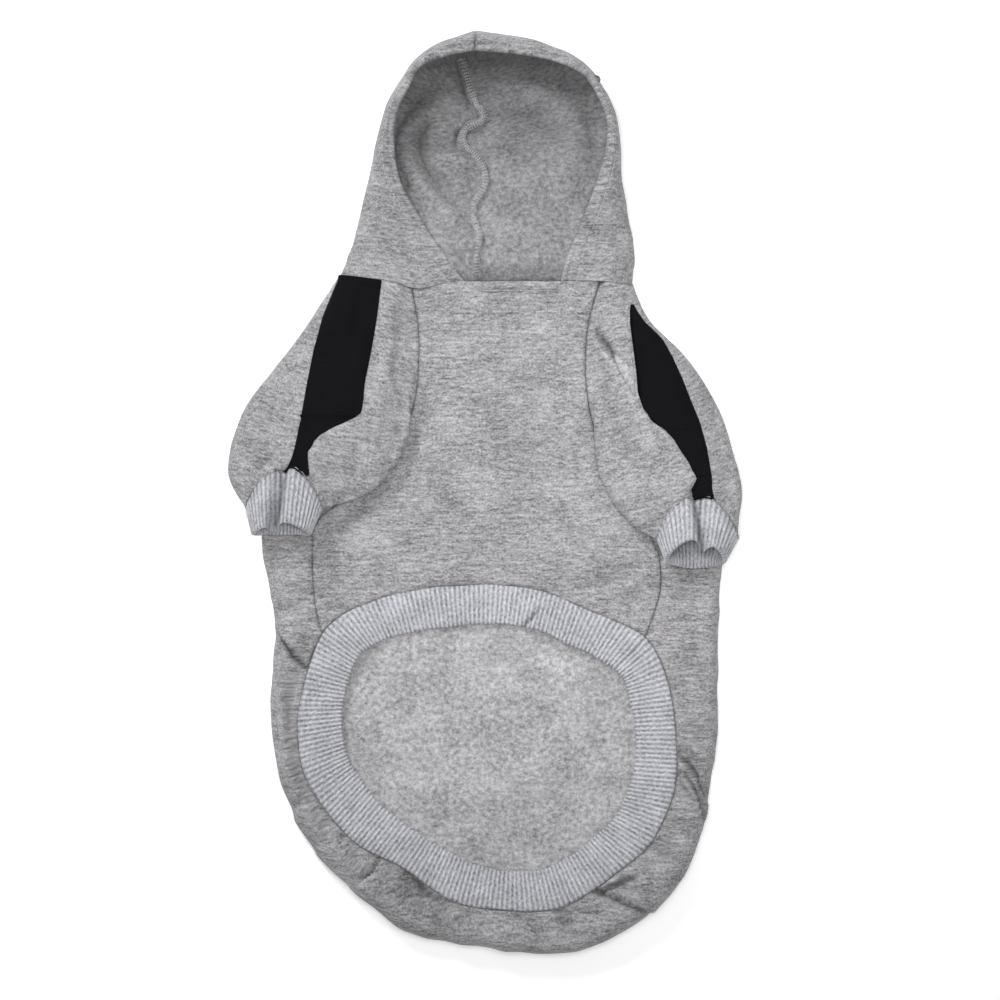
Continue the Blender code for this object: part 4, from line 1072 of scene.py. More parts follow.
def weighted(tree, parts):
    """Sum of values about their middles, each with its own weight, about 0.5."""
    total = None
    for value, weight in parts:
        part = node(tree, "ShaderNodeMath", {1: weight, 2: -0.5 * weight}, {0: value},
                    operation="MULTIPLY_ADD").outputs[0]
        if total is None:
            total = node(tree, "ShaderNodeMath", {1: 0.5}, {0: part}, operation="ADD").outputs[0]
        else:
            total = node(tree, "ShaderNodeMath", {}, {0: total, 1: part},
                         operation="ADD").outputs[0]
    return total


def tones(tree, factor, colour, dark, light):
    """The colour at 0.5, darker by a share towards 0 and lighter by a share towards 1."""
    return ramp(tree, factor, ((0.0, toned(colour, 1 - dark)), (0.5, colour),
                               (1.0, toned(colour, 1 + light))))


def bump_on(tree, shader, height, strength, deep):
    """Small relief in the finish alone, deep in metres."""
    made = node(tree, "ShaderNodeBump", {"Strength": strength, "Distance": deep},
                {"Height": height})
    tree.links.new(made.outputs["Normal"], shader.inputs["Normal"])


def in_creases(tree, tone):
    """The tone, darker where little light reaches into a crease."""
    dim = node(tree, "ShaderNodeAttribute", attribute_name="crease_shade")
    lit = node(tree, "ShaderNodeMath", {0: 1.0}, {1: dim.outputs["Fac"]}, operation="SUBTRACT")
    made = node(tree, "ShaderNodeVectorMath", links={0: tone, "Scale": lit.outputs[0]},
                operation="SCALE")
    return made.outputs[0]


def heather_fleece():
    """Sweatshirt fleece, face side: circular-knit melange jersey, matt, with short dark
    streaks of dyed fibre that lie along the courses."""
    made, tree, shader, uv = start_material("melange_jersey_face", 0.94, 0.1)
    streaks = noise(tree, uv, 4.2, 1.5, detail=3.0, roughness=0.6)
    fibre = noise(tree, uv, 1.3, 1.1, 3.0, roughness=0.6)
    long = noise(tree, uv, 13.0, 2.4, 7.0)
    broad = noise(tree, uv, 20.0, 15.0, 5.0)
    mixed = weighted(tree, ((streaks, 1.5), (fibre, 1.5), (long, 0.75), (broad, 0.62)))
    tone = tones(tree, mixed, tuple(colours().fleece), 0.62, 0.68)
    tree.links.new(in_creases(tree, tone), shader.inputs["Base Color"])
    bump_on(tree, shader, weighted(tree, ((streaks, 0.5), (fibre, 1.0))), 0.4, 0.0006)
    return made


CROWN_SHADE_FROM = 0.16       # from here to the next, y in metres, the hood's inside gets more painted shade towards the crown
CROWN_SHADE_TO = 0.24


def brushed_fleece(name, tone_at_neck, tone_at_crown):
    """Sweatshirt fleece, inside: brushed loops, a short dense nap with soft cloudy tufts.
    In the hood the colour is darkened with painted shade, most towards the crown."""
    made, tree, shader, uv = start_material(name, 1.0, 0.3, 0.6, 0.08)
    tufts = noise(tree, uv, 3.0, 2.7, detail=3.0, roughness=0.6)
    nap = noise(tree, uv, 1.4, 1.3, 4.0, roughness=0.6)
    clouds = noise(tree, uv, 17.0, 14.0, 9.0)
    mixed = weighted(tree, ((tufts, 1.7), (nap, 1.0), (clouds, 0.8)))
    tone = tones(tree, mixed, tuple(colours().inside), 0.55, 0.6)
    # painted shade: the hood's inside darkens from the neck to the crown
    place = node(tree, "ShaderNodeTexCoord").outputs["Object"]
    up = node(tree, "ShaderNodeSeparateXYZ", links={"Vector": place}).outputs["Y"]
    crown_shade = node(tree, "ShaderNodeMapRange",
                    {1: CROWN_SHADE_FROM, 2: CROWN_SHADE_TO, 3: tone_at_neck, 4: tone_at_crown}, {0: up})
    lying = node(tree, "ShaderNodeVectorMath", links={0: tone, "Scale": crown_shade.outputs[0]},
                 operation="SCALE")
    tree.links.new(in_creases(tree, lying.outputs[0]), shader.inputs["Base Color"])
    bump_on(tree, shader, weighted(tree, ((tufts, 1.0), (nap, 0.6))), 0.6, 0.0009)
    return made


def rib_knit():
    """Rib trim, 1x1 knit: rounded ridges of stitches, with painted shade in the grooves between
    them.
    """
    made, tree, shader, uv = start_material("rib_knit_1x1", 0.92, 0.12)
    split = node(tree, "ShaderNodeSeparateXYZ", links={"Vector": uv})
    # painted shade: the colour follows the rib's wave and is darker in each groove
    turns = node(tree, "ShaderNodeMath", {1: 2 * math.pi / settings().rib_pitch},
                 {0: split.outputs["X"]}, operation="MULTIPLY")
    wave = node(tree, "ShaderNodeMath", links={0: turns.outputs[0]}, operation="COSINE")
    ridge = node(tree, "ShaderNodeMapRange", {1: -1.0, 2: 1.0}, {0: wave.outputs[0]}).outputs[0]
    stitch = noise(tree, uv, 1.5, 1.9, roughness=0.6)
    cloud = noise(tree, uv, 12.0, 9.0, 2.0)
    mixed = weighted(tree, ((ridge, 0.42), (stitch, 1.5), (cloud, 0.5)))
    tone = tones(tree, mixed, tuple(colours().rib), 0.6, 0.6)
    tree.links.new(in_creases(tree, tone), shader.inputs["Base Color"])
    bump_on(tree, shader, stitch, 0.45, 0.0006)
    return made


def woven_tape():
    """Sleeve tape: narrow-woven polyester, dense matt black, with fine cross ribs."""
    made, tree, shader, uv = start_material("woven_polyester_tape", 0.8, 0.02, 0.4, 0.12)
    weft = node(tree, "ShaderNodeTexWave", {"Scale": 1.0, "Distortion": 0.4, "Detail": 1.0},
                {"Vector": scaled(tree, uv, 50.0, 7.0)}, bands_direction="Y")
    dust = noise(tree, uv, 1.4, 1.4, detail=3.0, roughness=0.7)
    tone = tones(tree, dust, tuple(colours().tape), 0.5, 0.9)
    tree.links.new(tone, shader.inputs["Base Color"])
    bump_on(tree, shader, weft.outputs["Fac"], 0.35, 0.0003)
    return made


def sewing_thread(name, colour):
    """Spun polyester thread, slightly fuzzy, a tone off the cloth."""
    made = bpy.data.materials.new(name)
    made.use_nodes = True
    tree = made.node_tree
    shader = tree.nodes["Principled BSDF"]
    shader.inputs["Roughness"].default_value = 0.7
    shader.inputs["Sheen Weight"].default_value = 0.2
    place = node(tree, "ShaderNodeTexCoord")
    twist = node(tree, "ShaderNodeTexNoise", {"Scale": 2500.0, "Detail": 1.0},
                 {"Vector": place.outputs["Object"]})
    tone = ramp(tree, twist.outputs["Fac"], ((0.3, toned(colour, 0.8)), (0.7, toned(colour, 1.1))))
    tree.links.new(tone, shader.inputs["Base Color"])
    return made


def material(name):
    """One of the garment's finishes, made once."""
    makers = {"face": heather_fleece, "rib": rib_knit, "tape": woven_tape,
              "inside": lambda: brushed_fleece("brushed_fleece_inside", 1.0, 1.0),
              # the hood's inside: the same fleece with painted shade, darker overall and most at
              # the crown
              "hood inside": lambda: brushed_fleece("brushed_fleece_hood_shaded", 0.7, 0.43),
              "thread": lambda: sewing_thread("spun_thread_grey", tuple(colours().thread))}
    key = "hoodie_" + name
    stored = bpy.context.scene.get(key)
    if stored and stored in bpy.data.materials:
        return bpy.data.materials[stored]
    made = makers[name]()
    bpy.context.scene[key] = made.name
    return made


# ---------------------------------------------------------------- pieces

def spread(*parts):
    """Places along a line: each part is a start, an end and how many steps it has."""
    out = [parts[0][0]]
    for start, end, count in parts:
        out += [mix(start, end, (n + 1) / count) for n in range(count)]
    return out


def build_back():
    """Back panel: on the surface, round the sides and tail and up to the rib hem."""
    fold_places = spread((1.0, 0.5, 30), (0.5, 0.0, 13), (0.0, LOW_PLACE, 3))
    middle = [n / 14 for n in range(1, 15)]
    left = [(row, 0.0) for row in armhole_rows("left", 6) + side_rows("left", 13)]
    right = [(row, 0.0) for row in armhole_rows("right", 6) + side_rows("right", 13)]
    loop = left + list(reversed(tail_rows(23))) + list(reversed(right))
    loop += [(flat_row(x, NECK_Y), 0.0) for x in range(53, -50, -4)]
    lines, flats, shares = [], [], []
    for row, place in loop:
        line, share, inward = back_line(row, place, fold_places)
        low = line[-1]
        top = line[0].z
        flat = [(p.x + inward.x * (p.z - top), p.y + inward.y * (p.z - top)) for p in line]
        for t in middle:
            at = low.lerp(BODY_MIDDLE, t)
            line.append(at)
            flat.append((at.x, at.y))
        lines.append(line)
        flats.append(flat)
        shares.append(share)
    lines.append(lines[0])
    flats.append(flats[0])
    shares.append(shares[0])
    grid, flat = grid_of(lines), np.array(flats)
    shares = np.array(shares)[:, None]
    normal = -grid_normals(grid[:-1], True)
    normal = np.concatenate([normal, normal[:1]])
    upper = np.clip((normal[..., 2] + 0.35) / 0.6, 0, 1) * np.clip(grid[..., 2] / 5, 0, 1)
    from_seam = lengths(grid, 1)
    round_hem = lengths(grid, 0)[:, :1]
    relief, shade = crease_relief("back", grid, settings().crease_depth * BACK_CREASE)
    shade = shade * upper + seam_shade(from_seam) * (shares > 0.5)
    for wave, reach in zip(WAVES["back"], (12, 6)):
        relief += slow_waves(grid, *wave) * np.clip(from_seam / reach, 0, 1)
    relief += puckers(round_hem, from_seam, 9, 7.5, 0.5, 8) * (shares > 0.95)
    relief *= upper * np.clip(from_seam / 1.5, 0, 1)
    relief += seam_groove(from_seam) * (shares > 0.5)
    grid = grid + normal * relief[..., None]
    opening = [tuple(hem_point(n / 90, 1).xy) for n in range(90)]
    inside = np.clip((reach_inside(grid[..., 0], grid[..., 1], opening) - 5) / 14, 0, 1)
    lift = 1.2 + loose_waves(grid, "floor of the body")
    grid[..., 2] += inside * np.clip(lift, 0, 5) * (normal[..., 2] < 0)
    piece = cloth("back_shell", grid, flat, (material("face"), material("inside")), normal,
                  (True, True), settings().fleece_wall / MM, shade=shade)
    hand_over(piece, ["back_panel"])


def build_belly():
    """Belly panel, neck to rib hem."""
    rows = belly_rows(14)
    last = len(rows) - 1
    places = [mix(u, 0.5 - 0.5 * math.cos(math.pi * u), 0.5) for u in even(136)]
    grid = grid_of([[belly_point(row, n / last, u) for u in places]
                    for n, row in enumerate(rows)])
    normal = grid_normals(grid)
    normal *= np.sign(normal[..., 2:3].mean())
    across, along = lengths(grid, 1), lengths(grid, 0)
    side = np.minimum(across, across[:, -1:] - across)
    hem = along[-1:] - along
    inside = np.clip(np.minimum(side, hem) / 10, 0, 1)
    relief, shade = crease_relief("belly", grid, settings().crease_depth)
    shade = shade + seam_shade(side) + seam_shade(hem)
    relief += loose_waves(grid, "belly") * inside
    relief += puckers(across, hem, 3, 7, 0.4, 6)
    relief += puckers(along, side, 4, 12, 0.25, 4)
    relief *= np.clip(np.minimum(side, hem) / 1.5, 0, 1)
    relief += seam_groove(side, 0.6, 1.3) + seam_groove(hem, 0.8, 1.5)
    flat = np.stack([grid[..., 0], grid[..., 1]], axis=-1)
    piece = cloth("belly_shell", grid + normal * relief[..., None], flat,
                  (material("face"), material("inside")), normal,
                  wall=settings().fleece_wall / MM, shade=shade)
    hand_over(piece,
              ["belly_panel"])


def neck_band_point(u, k):
    """On the turned edge of the neck: u runs along it, k from the seam to its stitched edge."""
    start, end, depth = NECK_BAND["row"]
    at = belly_point(BELLY["rows"][0], 0, mix(start, end, u))
    full = step(min(u, 1 - u) / 0.16)
    at.y -= mix(0.4, depth, k)
    at.z += mix(-NECK_BAND_SINK, NECK_BAND_LIFT + NECK_BAND_SINK,
                full * (1 - k ** 3)) + 0.35 * full
    return at


def build_neck_turning():
    """The turned edge of the neck in the hood's mouth, and its bar tack."""
    band = grid_of([[neck_band_point(u, k / 12) for u in even(90)] for k in range(13)])
    normal = grid_normals(band)
    normal *= np.sign(normal[..., 2:3].mean())
    gone = lengths(band, 1)
    band = band + normal * loose_waves(band, "neck")[..., None]
    flat = np.stack([gone, -lengths(band, 0)], axis=-1)
    piece = cloth("neck_turning", band, flat, (material("face"), material("inside")), normal,
                  wall=0.8)
    hand_over(piece,
              ["neck_band"])
    marks = []
    for n in range(9):
        at = neck_band_point(mix(0.88, 0.97, n / 8), 0.55) + Vector((0, 0, 1.1))
        marks.append((at, Vector((0.5, 1, 0)), Vector((0, 0, 1))))
    for n in range(26):
        at = neck_band_point(mix(0.04, 0.96, n / 25), 0.82) + Vector((0, 0, 0.9))
        marks.append((at, Vector((1, 0, 0)), Vector((0, 0, 1))))
    add_stitches("neck_stitches", marks, TOPSTITCH_LONG, THREAD_HALF)


def build_sleeve(side):
    """One sleeve, from its front raglan seam over the outer fold to its back seam."""
    rows = stations(SLEEVE[side], 16)
    shares = even(210)
    lines = [sleeve_row(side, row, shares) for row in rows]
    turned = fold_share(side, rows[-1])
    for share, grow in SLEEVE_END:
        lines.append([cuff_point(side, share, oval_angle(side, u, turned), grow)
                      for u in shares])
    grid = grid_of(lines)
    normal = grid_normals(grid) * (-1 if side == "left" else 1)
    normal *= 1 if (normal[..., 2] * (grid[..., 2] > 8)).sum() > 0 else -1
    across, along = lengths(grid, 1), lengths(grid, 0)
    upper = np.clip((normal[..., 2] + 0.1) / 0.6, 0, 1)
    cuff_end = np.abs(along[[len(rows) - 1]] - along)
    relief, shade = crease_relief(side, grid, settings().crease_depth)
    shade = shade * upper + seam_shade(across) + seam_shade(cuff_end, 0.3, 1.2)
    relief += loose_waves(grid, side)
    relief *= upper * np.clip(across / 6, 0, 1) * np.clip(cuff_end / 8, 0, 1)
    relief *= np.clip(along / 8, 0, 1)
    relief += seam_groove(across, 0.5, 1.3)
    relief += puckers(across, cuff_end, 12, 5, 0.5, 7) * np.clip(cuff_end / 2.5, 0, 1)
    grid = grid + normal * relief[..., None]
    turn = SLEEVE_GRAIN[side]
    top = grid[..., 2].argmax(axis=1)[:, None]
    fall = np.take_along_axis(grid[..., 2], top, axis=1) - grid[..., 2]
    fall *= np.arange(grid.shape[1])[None, :] > top
    out = grid[..., 0] + (-1 if side == "left" else 1) * fall
    flat = np.stack([out * math.cos(turn) + grid[..., 1] * math.sin(turn),
                     grid[..., 1] * math.cos(turn) - out * math.sin(turn)], axis=-1)
    thin = 0.25 + 0.75 * np.clip((along[[len(rows) - 1]] - 1 - along) / 6, 0, 1)
    piece = cloth("sleeve_%s_shell" % side, grid, flat, (material("face"), material("inside")),
                  normal, wall=settings().fleece_wall / MM, weights=thin, shade=shade)
    hand_over(piece,
              ["sleeve_" + side])
    build_tape(side, grid, normal, flat, len(rows) - 1)


TAPE_HELD = 5.1 / 7   # from here on a tape's inner edge is led to the cuff
TAPE_FREE = 6.2 / 7   # and from here its outer edge
TAPE_TOP = {"left": 200, "right": 110}      # the tape starts below this y
TAPE_COLUMNS = 34
TAPE_ABOVE = 0.15     # the tape lies this far off the sleeve


def tape_edges(side, line):
    """Columns of a sleeve row between which the tape lies, on the layer nearest the fold."""
    turn = -1 if side == "left" else 1
    out = turn * line[:, 0]
    fold = int(np.argmax(out))
    found = []
    for edge in ("outer", "inner"):
        at = found[0] if found else float(fold)
        for j in range(int(at), 1, -1):
            want = turn * across_at(TAPE[side + " " + edge], line[j - 1, 1])
            if out[j - 1] <= want:
                at = j - min(1.0, max(0.0, (out[j] - want) / max(1e-6, out[j] - out[j - 1])))
                break
            at = j - 1.0
            if out[j - 1] > out[j] + 0.02 and line[j, 2] > 4 and j < fold - 12:
                break
        found.append(at)
    return found[1], found[0]


def smooth(values, reach):
    """Evens out a row of numbers, keeping its ends."""
    padded = np.pad(np.array(values), reach, mode="edge")
    weights = np.hanning(2 * reach + 3)[1:-1]
    return np.convolve(padded, weights / weights.sum(), mode="valid")


def build_tape(side, grid, normal, flat, last):
    """The tape is made from the sleeve's own points, moved out."""
    wall = settings().tape_wall / MM
    held = int(last * TAPE_HELD)
    edges = [tape_edges(side, grid[i]) for i in range(held)]
    turned = fold_share(side, SLEEVE[side][-1])
    crease = math.acos(FOLD_END[side])
    end = (math.acos(TAPE_END[side]) - crease) / (OVAL_START + OVAL_TURN - crease)
    goal = [u * (grid.shape[1] - 1) for u in (turned, mix(turned, 1.0, end))]
    free = int(last * TAPE_FREE)
    from_inner, from_outer = edges[-1][0], tape_edges(side, grid[free - 1])[1]
    for i in range(held, last + 1):
        f = step((i - held + 1) / (last + 1 - held))
        g = step((i - free + 1) / (last + 1 - free))
        at = mix(from_outer, goal[1], g) if i >= free else tape_edges(side, grid[i])[1]
        edges.append((mix(from_inner, goal[0], f), at))
    inner = smooth([a for a, _ in edges], 3)
    outer = smooth([b for _, b in edges], 1)
    points, cut, out = [], [], []
    for i in range(last + 1):
        if grid[i, 0, 1] > TAPE_TOP[side]:
            continue
        line, where, outs = [], [], []
        for k in range(TAPE_COLUMNS):
            at = mix(inner[i], outer[i], k / (TAPE_COLUMNS - 1))
            j = min(grid.shape[1] - 2, int(at))
            f = at - j
            p = grid[i, j] * (1 - f) + grid[i, j + 1] * f
            n = normal[i, j] * (1 - f) + normal[i, j + 1] * f
            round_edge = 0.45 * abs(2 * k / (TAPE_COLUMNS - 1) - 1) ** 8
            line.append(p + n * (TAPE_ABOVE + wall - round_edge))
            outs.append(n)
            where.append(flat[i, j] * (1 - f) + flat[i, j + 1] * f)
        points.append(line)
        out.append(outs)
        cut.append(where)
    piece = cloth("sleeve_tape_" + side, np.array(points), np.array(cut), (material("tape"),),
                  np.array(out), wall=wall)
    hand_over(piece,
              ["sleeve_band_" + side])


def hem_places(count):
    """Places round the hem, equally far apart along the middle of the band."""
    fine = [n / 3000 for n in range(3001)]
    line = grid_of([[hem_point(place, 0.5)] for place in fine])
    gone = lengths(line, 0)[:, 0]
    return np.interp(np.linspace(0, gone[-1], count + 1), gone, fine)[:-1]


def build_hem():
    """Rib hem: a folded band of 1x1 rib all round the opening."""
    sizes = settings()
    ribs = sizes.hem_ribs
    count = ribs * HEM_RIB_POINTS
    wall = sizes.rib_wall / MM
    edge = wall / 2
    outer = [(0.05, -wall), (0.05, -wall * 0.5), (0.15, -0.9), (0.8, -0.4), (2.0, 0.05),
             (4, 0.3), (6.5, 0.4), (9, 0.45), (12, 0.45), (15, 0.4), (18, 0.25), (20.5, 0.0)]
    turned = [(-edge + edge * math.sin(t * math.pi / 8), -edge + edge * math.cos(t * math.pi / 8))
              for t in range(9)]
    under = [(-6, -wall), (-14, -wall)]
    lines = []
    for place in hem_places(count):
        seam, inner = hem_point(place, 0), hem_point(place, 1)
        width = (seam - inner).length
        fit = (width - 2.5) / outer[-1][0] / width
        shares = [(d * fit, up) for d, up in outer]
        shares += [(1 + d / width, up) for d, up in turned + under]
        line = []
        for share, up in shares + shares[:1]:
            at = seam.lerp(inner, share)
            at.z += up
            line.append(at)
        lines.append(line)
    lines.append(lines[0])
    grid = grid_of(lines)
    normal = grid_normals(grid[:-1], True)
    normal *= np.sign((normal[:, 6:10, 2]).sum())
    normal = np.concatenate([normal, normal[:1]])
    turn = np.arange(count + 1)[:, None] / count
    raised = np.zeros(grid.shape[1])
    raised[2:len(outer) + len(turned) - 2] = 1.0
    raised[2] = 0.3
    ridge = (0.5 + 0.5 * np.cos(2 * np.pi * ribs * turn)) ** 0.8
    top = raised[None, :]
    relief = ridge * top * sizes.rib_raise / MM
    relief += loose_waves(grid, "hem") * (top > 0)
    folds, shade = crease_relief("hem", grid, sizes.crease_depth)
    relief += folds * (top > 0.9)
    grid = grid + normal * relief[..., None]
    gone = turn * ribs * sizes.rib_pitch / MM
    flat = np.stack([gone + grid[..., 0] * 0, lengths(grid, 1)], axis=-1)
    piece = cloth("hem_rib_knit", grid, flat, (material("rib"),), normal, (True, True),
                  shade=shade)
    hand_over(piece, ["hem_rib"])


def build_cuff(side):
    """One rib cuff, folded double, open towards the tail."""
    sizes = settings()
    ribs = sizes.cuff_ribs
    count = ribs * CUFF_RIB_POINTS
    wall = sizes.rib_wall / MM - 0.4
    section = [(share, 0.0) for share in (0.0, 0.05, 0.15, 0.3, 0.45, 0.6, 0.75, 0.88)]
    lip = wall / 2 / CUFF_OUTER
    section += [(1 - lip + lip * math.sin(t * math.pi / 6), -wall / 2 + wall / 2
                 * math.cos(t * math.pi / 6)) for t in range(7)]
    section += [(share, -wall) for share in (0.88, 0.7, 0.5, 0.3, 0.0)]
    section.append((0.0, 0.0))
    lines = []
    for i in range(count):
        angle = 2 * math.pi * i / count
        ridge = (0.5 + 0.5 * math.cos(2 * math.pi * ribs * i / count)) * sizes.rib_raise / MM
        line = []
        for n, (share, grow) in enumerate(section):
            raised = ridge if n < CUFF_OUTSIDE else -0.6 * ridge
            if n in (0, len(section) - 1):
                raised = 0.0
            line.append(cuff_point(side, share, angle, grow + raised))
        lines.append(line)
    lines.append(lines[0])
    grid = grid_of(lines)
    normal = grid_normals(grid[:-1], True)
    normal = np.concatenate([normal, normal[:1]])
    centre = grid[:, :8].mean(axis=(0, 1))
    if (normal[:, 4] * (grid[:, 4] - centre)).sum() < 0:
        normal = -normal
    turn = np.arange(count + 1)[:, None] / count
    gone = turn * ribs * sizes.rib_pitch / MM
    flat = np.stack([gone + grid[..., 0] * 0, lengths(grid, 1)], axis=-1)
    # painted shade: dark down the crease on top of the cuff, slightly dark all over, and darker
    # inside
    across = np.cos(turn * 2 * math.pi)
    at_seam, at_opening = CUFF_VALLEY[side][:2]
    along = np.array([share for share, _ in section])[None, :]
    valley = at_seam + (at_opening - at_seam) * along
    shade = 0.5 * np.exp(-((across - valley) / 0.07) ** 2) * (np.sin(turn * 2 * math.pi) > 0)
    shade = shade * np.clip(along / 0.2, 0, 1) + 0.06
    shade = shade + CUFF_HOLLOW * (np.arange(len(section)) > CUFF_OUTSIDE)
    piece = cloth("cuff_%s_knit" % side, grid, flat, (material("rib"),), normal, (True, True),
                  shade=shade)
    hand_over(piece,
              ["cuff_" + side])


def floor_lift(x, y):
    """How far the hood's lower layer is lifted off the surface."""
    total = np.zeros(np.shape(x))
    for cx, cy, rx, ry, lean, height in FLOOR_LIFTS["rows"]:
        dx, dy = x - cx - lean * (y - cy), y - cy
        total = total + height * np.exp(-(dx / rx) ** 2 - (dy / ry) ** 2)
    return total * np.clip((y - 121) / 14, 0, 1) * np.clip((250 - y) / 16, 0, 1)


def hood_floor(x, y):
    """Height of the hood's lower layer, which shows through its mouth, with its folds, and the
    painted shade in its folds.
    """
    inside = np.clip((y - 122) / 10, 0, 1) * np.clip((254 - y) / 12, 0, 1)
    points = np.stack([x, y], axis=-1)
    folds, shade = crease_relief("hood floor", points, settings().crease_depth)
    return np.maximum(0.0, floor_lift(x, y) + (HOOD_FLOOR + folds) * inside), shade * inside


def ridge_x(y):
    """X of the seam allowance inside the hood at a height y."""
    return np.interp(y, [row[1] for row in RIDGE["rows"]], [row[0] for row in RIDGE["rows"]])


def hood_hem_at(side, count):
    """Depth of the mouth's hem along it, less where the hood's upper layer is narrow."""
    deep = []
    for v in even(count):
        _, _, fx, fy, ex, ey, _, _, _ = row_at(HOOD[side], v)
        deep.append(min(settings().hood_hem / MM, math.hypot(fx - ex, fy - ey) - 2.0))
    return np.array(deep)


def build_hood(side):
    """One half of the hood, from the mouth over the side fold to the back seam."""
    sizes = settings()
    shares = [mix(u, u * u, 0.4) for u in even(150)]
    grid = grid_of([hood_row(side, v, shares) for v in even(130)])
    normal = grid_normals(grid)
    high = grid[..., 2] > 9
    normal *= 1 if (normal[..., 2] * high).sum() > 0 else -1
    across, along = lengths(grid, 1), lengths(grid, 0)
    hem = hood_hem_at(side, grid.shape[0])[:, None]
    upper = np.clip((normal[..., 2] + 0.3) / 0.6, 0, 1) * np.clip(grid[..., 2] / 5, 0, 1)
    relief, shade = crease_relief("hood " + side, grid, sizes.crease_depth)
    shade = shade * upper
    relief += loose_waves(grid, "hood " + side)
    relief *= upper * np.clip(along / 8, 0, 1) * np.clip((along[-1:] - along) / 10, 0, 1)
    room = np.clip((hem - 5.2) / 1.5, 0, 1)
    relief += seam_groove(across - hem, 0.45, 0.9) * upper * room
    relief += seam_groove(across - RIM_SEAM, 0.55, 1.1) * upper * room
    relief += seam_groove(along[-1:] - along, 0.9, 0.8) * upper
    shade = shade + seam_shade(along[-1:] - along) * upper
    roll = np.clip(1 - across / RIM_ROUND, 0, 1)
    drop = RIM_ROUND * (1 - np.sqrt(1 - roll * roll))
    grid = grid + normal * (relief - drop)[..., None]
    from_seam = across[:, -1:] - across
    seam = grid[:, -1:, :]
    down = (grid[..., 2] < 0.25 * grid[..., 2].max(axis=1, keepdims=True)).argmax(axis=1)
    lower = np.clip((np.arange(grid.shape[1])[None, :] - down[:, None]) / 8, 0, 1)
    level = grid[..., 2:3].copy()
    shift = (ridge_x(seam[..., 1]) - seam[..., 0]) * np.exp(-(from_seam / 16) ** 2)
    grid[..., 0] += shift * lower
    lift, floor_shade = hood_floor(grid[..., 0], grid[..., 1])
    grid[..., 2] += lift * lower
    shade = shade + floor_shade * lower
    wall = 2 * sizes.fleece_wall / MM + 0.4
    near = np.clip((hem + 0.8 - across) / 0.9, 0, 1)
    weights = mix(sizes.fleece_wall / MM / wall, 1.0, near) - 1.7 * drop / wall
    outward = grid[:, [60], :2] - grid[:, :1, :2]
    outward /= np.linalg.norm(outward, axis=-1, keepdims=True)
    flat = grid[..., :2] + outward * (30 - level)
    piece = cloth("hood_%s_shell" % side, grid, flat,
                  (material("face"), material("hood inside")), normal, wall=wall,
                  weights=weights, shade=shade)
    hand_over(piece,
              ["hood_" + side])
    return grid, normal, across


def stitches(name, marks, length, radius, slot_material):
    """Short thread stitches. Each mark is a place, a direction and the way up, in mm."""
    bm = bmesh.new()
    for at, way, up in marks:
        way = way.normalized()
        side = up.cross(way).normalized()
        up = way.cross(side)
        turn = Matrix((way, side, up)).transposed().to_4x4()
        size = Matrix.Diagonal((length / 2 * MM, radius * MM, radius * MM, 1))
        bmesh.ops.create_icosphere(bm, subdivisions=1, radius=1,
                                   matrix=Matrix.Translation(at * MM) @ turn @ size)
    return finish_mesh(bm, name, (slot_material,))


def add_stitches(name, marks, length, radius):
    """Stitches in thread at marks on the cloth, carried by the garment."""
    settled = [(Vector(settle(np.array(tuple(at)))) / MM, way, up) for at, way, up in marks]
    sewing = stitches(name, settled, length, radius, material("thread"))
    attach(sewing, "root")


RIDGE_HALF = 2.3      # half the width of the seam allowance inside the hood
RIDGE_HIGH = 1.6      # and its height above its middle
RIDGE_LOW = 1.5       # and below it
RIDGE_CLEAR = 2.4     # its underside over the hood's lower layer
OVERLOCK_LINES = (-0.2, 0.35, 0.85)    # places of the threads across it


def build_hood_seam():
    """The overlocked seam allowance inside the hood, a wavy ridge, with its threads."""
    rows = RIDGE["rows"]
    count, around = 280, 21
    lines, marks = [], []
    for n in range(count):
        t = n / (count - 1)
        x, y = row_at(rows, t)
        ax, ay = row_at(rows, min(1.0, t + 0.004))
        bx, by = row_at(rows, max(0.0, t - 0.004))
        way = Vector((ax - bx, ay - by, 0)).normalized()
        side = Vector((way.y, -way.x, 0))
        base = float(hood_floor(np.array(x), np.array(y))[0]) + RIDGE_CLEAR
        size = 1 + 0.12 * math.sin(t * 60) + 0.08 * math.sin(t * 140)
        size *= math.sqrt(min(1.0, min(n, count - 1 - n) / 5))
        lean = 0.7 * math.sin(t * 9)
        line = []
        for k in range(around):
            angle = 2 * math.pi * k / (around - 1)
            wide, up = math.cos(angle), math.sin(angle)
            line.append(Vector((x, y, base + RIDGE_LOW)) + side * (RIDGE_HALF * wide + lean) * size
                        + Vector((0, 0, (RIDGE_HIGH if up > 0 else RIDGE_LOW) * up * size)))
        lines.append(line)
        if n % 3 == 1 and size > 0.8:
            for k in OVERLOCK_LINES:
                up = RIDGE_HIGH * math.sqrt(1 - k * k) * size
                at = Vector((x, y, base + RIDGE_LOW + up)) + side * (RIDGE_HALF * k + lean) * size
                way_over = side + Vector((0, 0, -k * 1.2)) + way * 0.5
                marks.append((at, way_over, side * k + Vector((0, 0, 1))))
    grid = grid_of(lines)
    normal = grid_normals(grid)
    centre = grid.mean(axis=1, keepdims=True)
    normal *= 1 if (normal * (grid - centre)).sum() > 0 else -1
    flat = np.stack([lengths(grid, 1), lengths(grid, 0)], axis=-1)
    piece = cloth("hood_back_seam", grid, flat, (material("hood inside"),), normal,
                  (True, True))
    hand_over(piece,
              ["hood_seam"])
    add_stitches("hood_overlock", marks, 1.5, 0.24)


TOPSTITCH_PITCH = 2.6
TOPSTITCH_LONG = 2.0
THREAD_HALF = 0.22    # half the thickness of the sewing thread


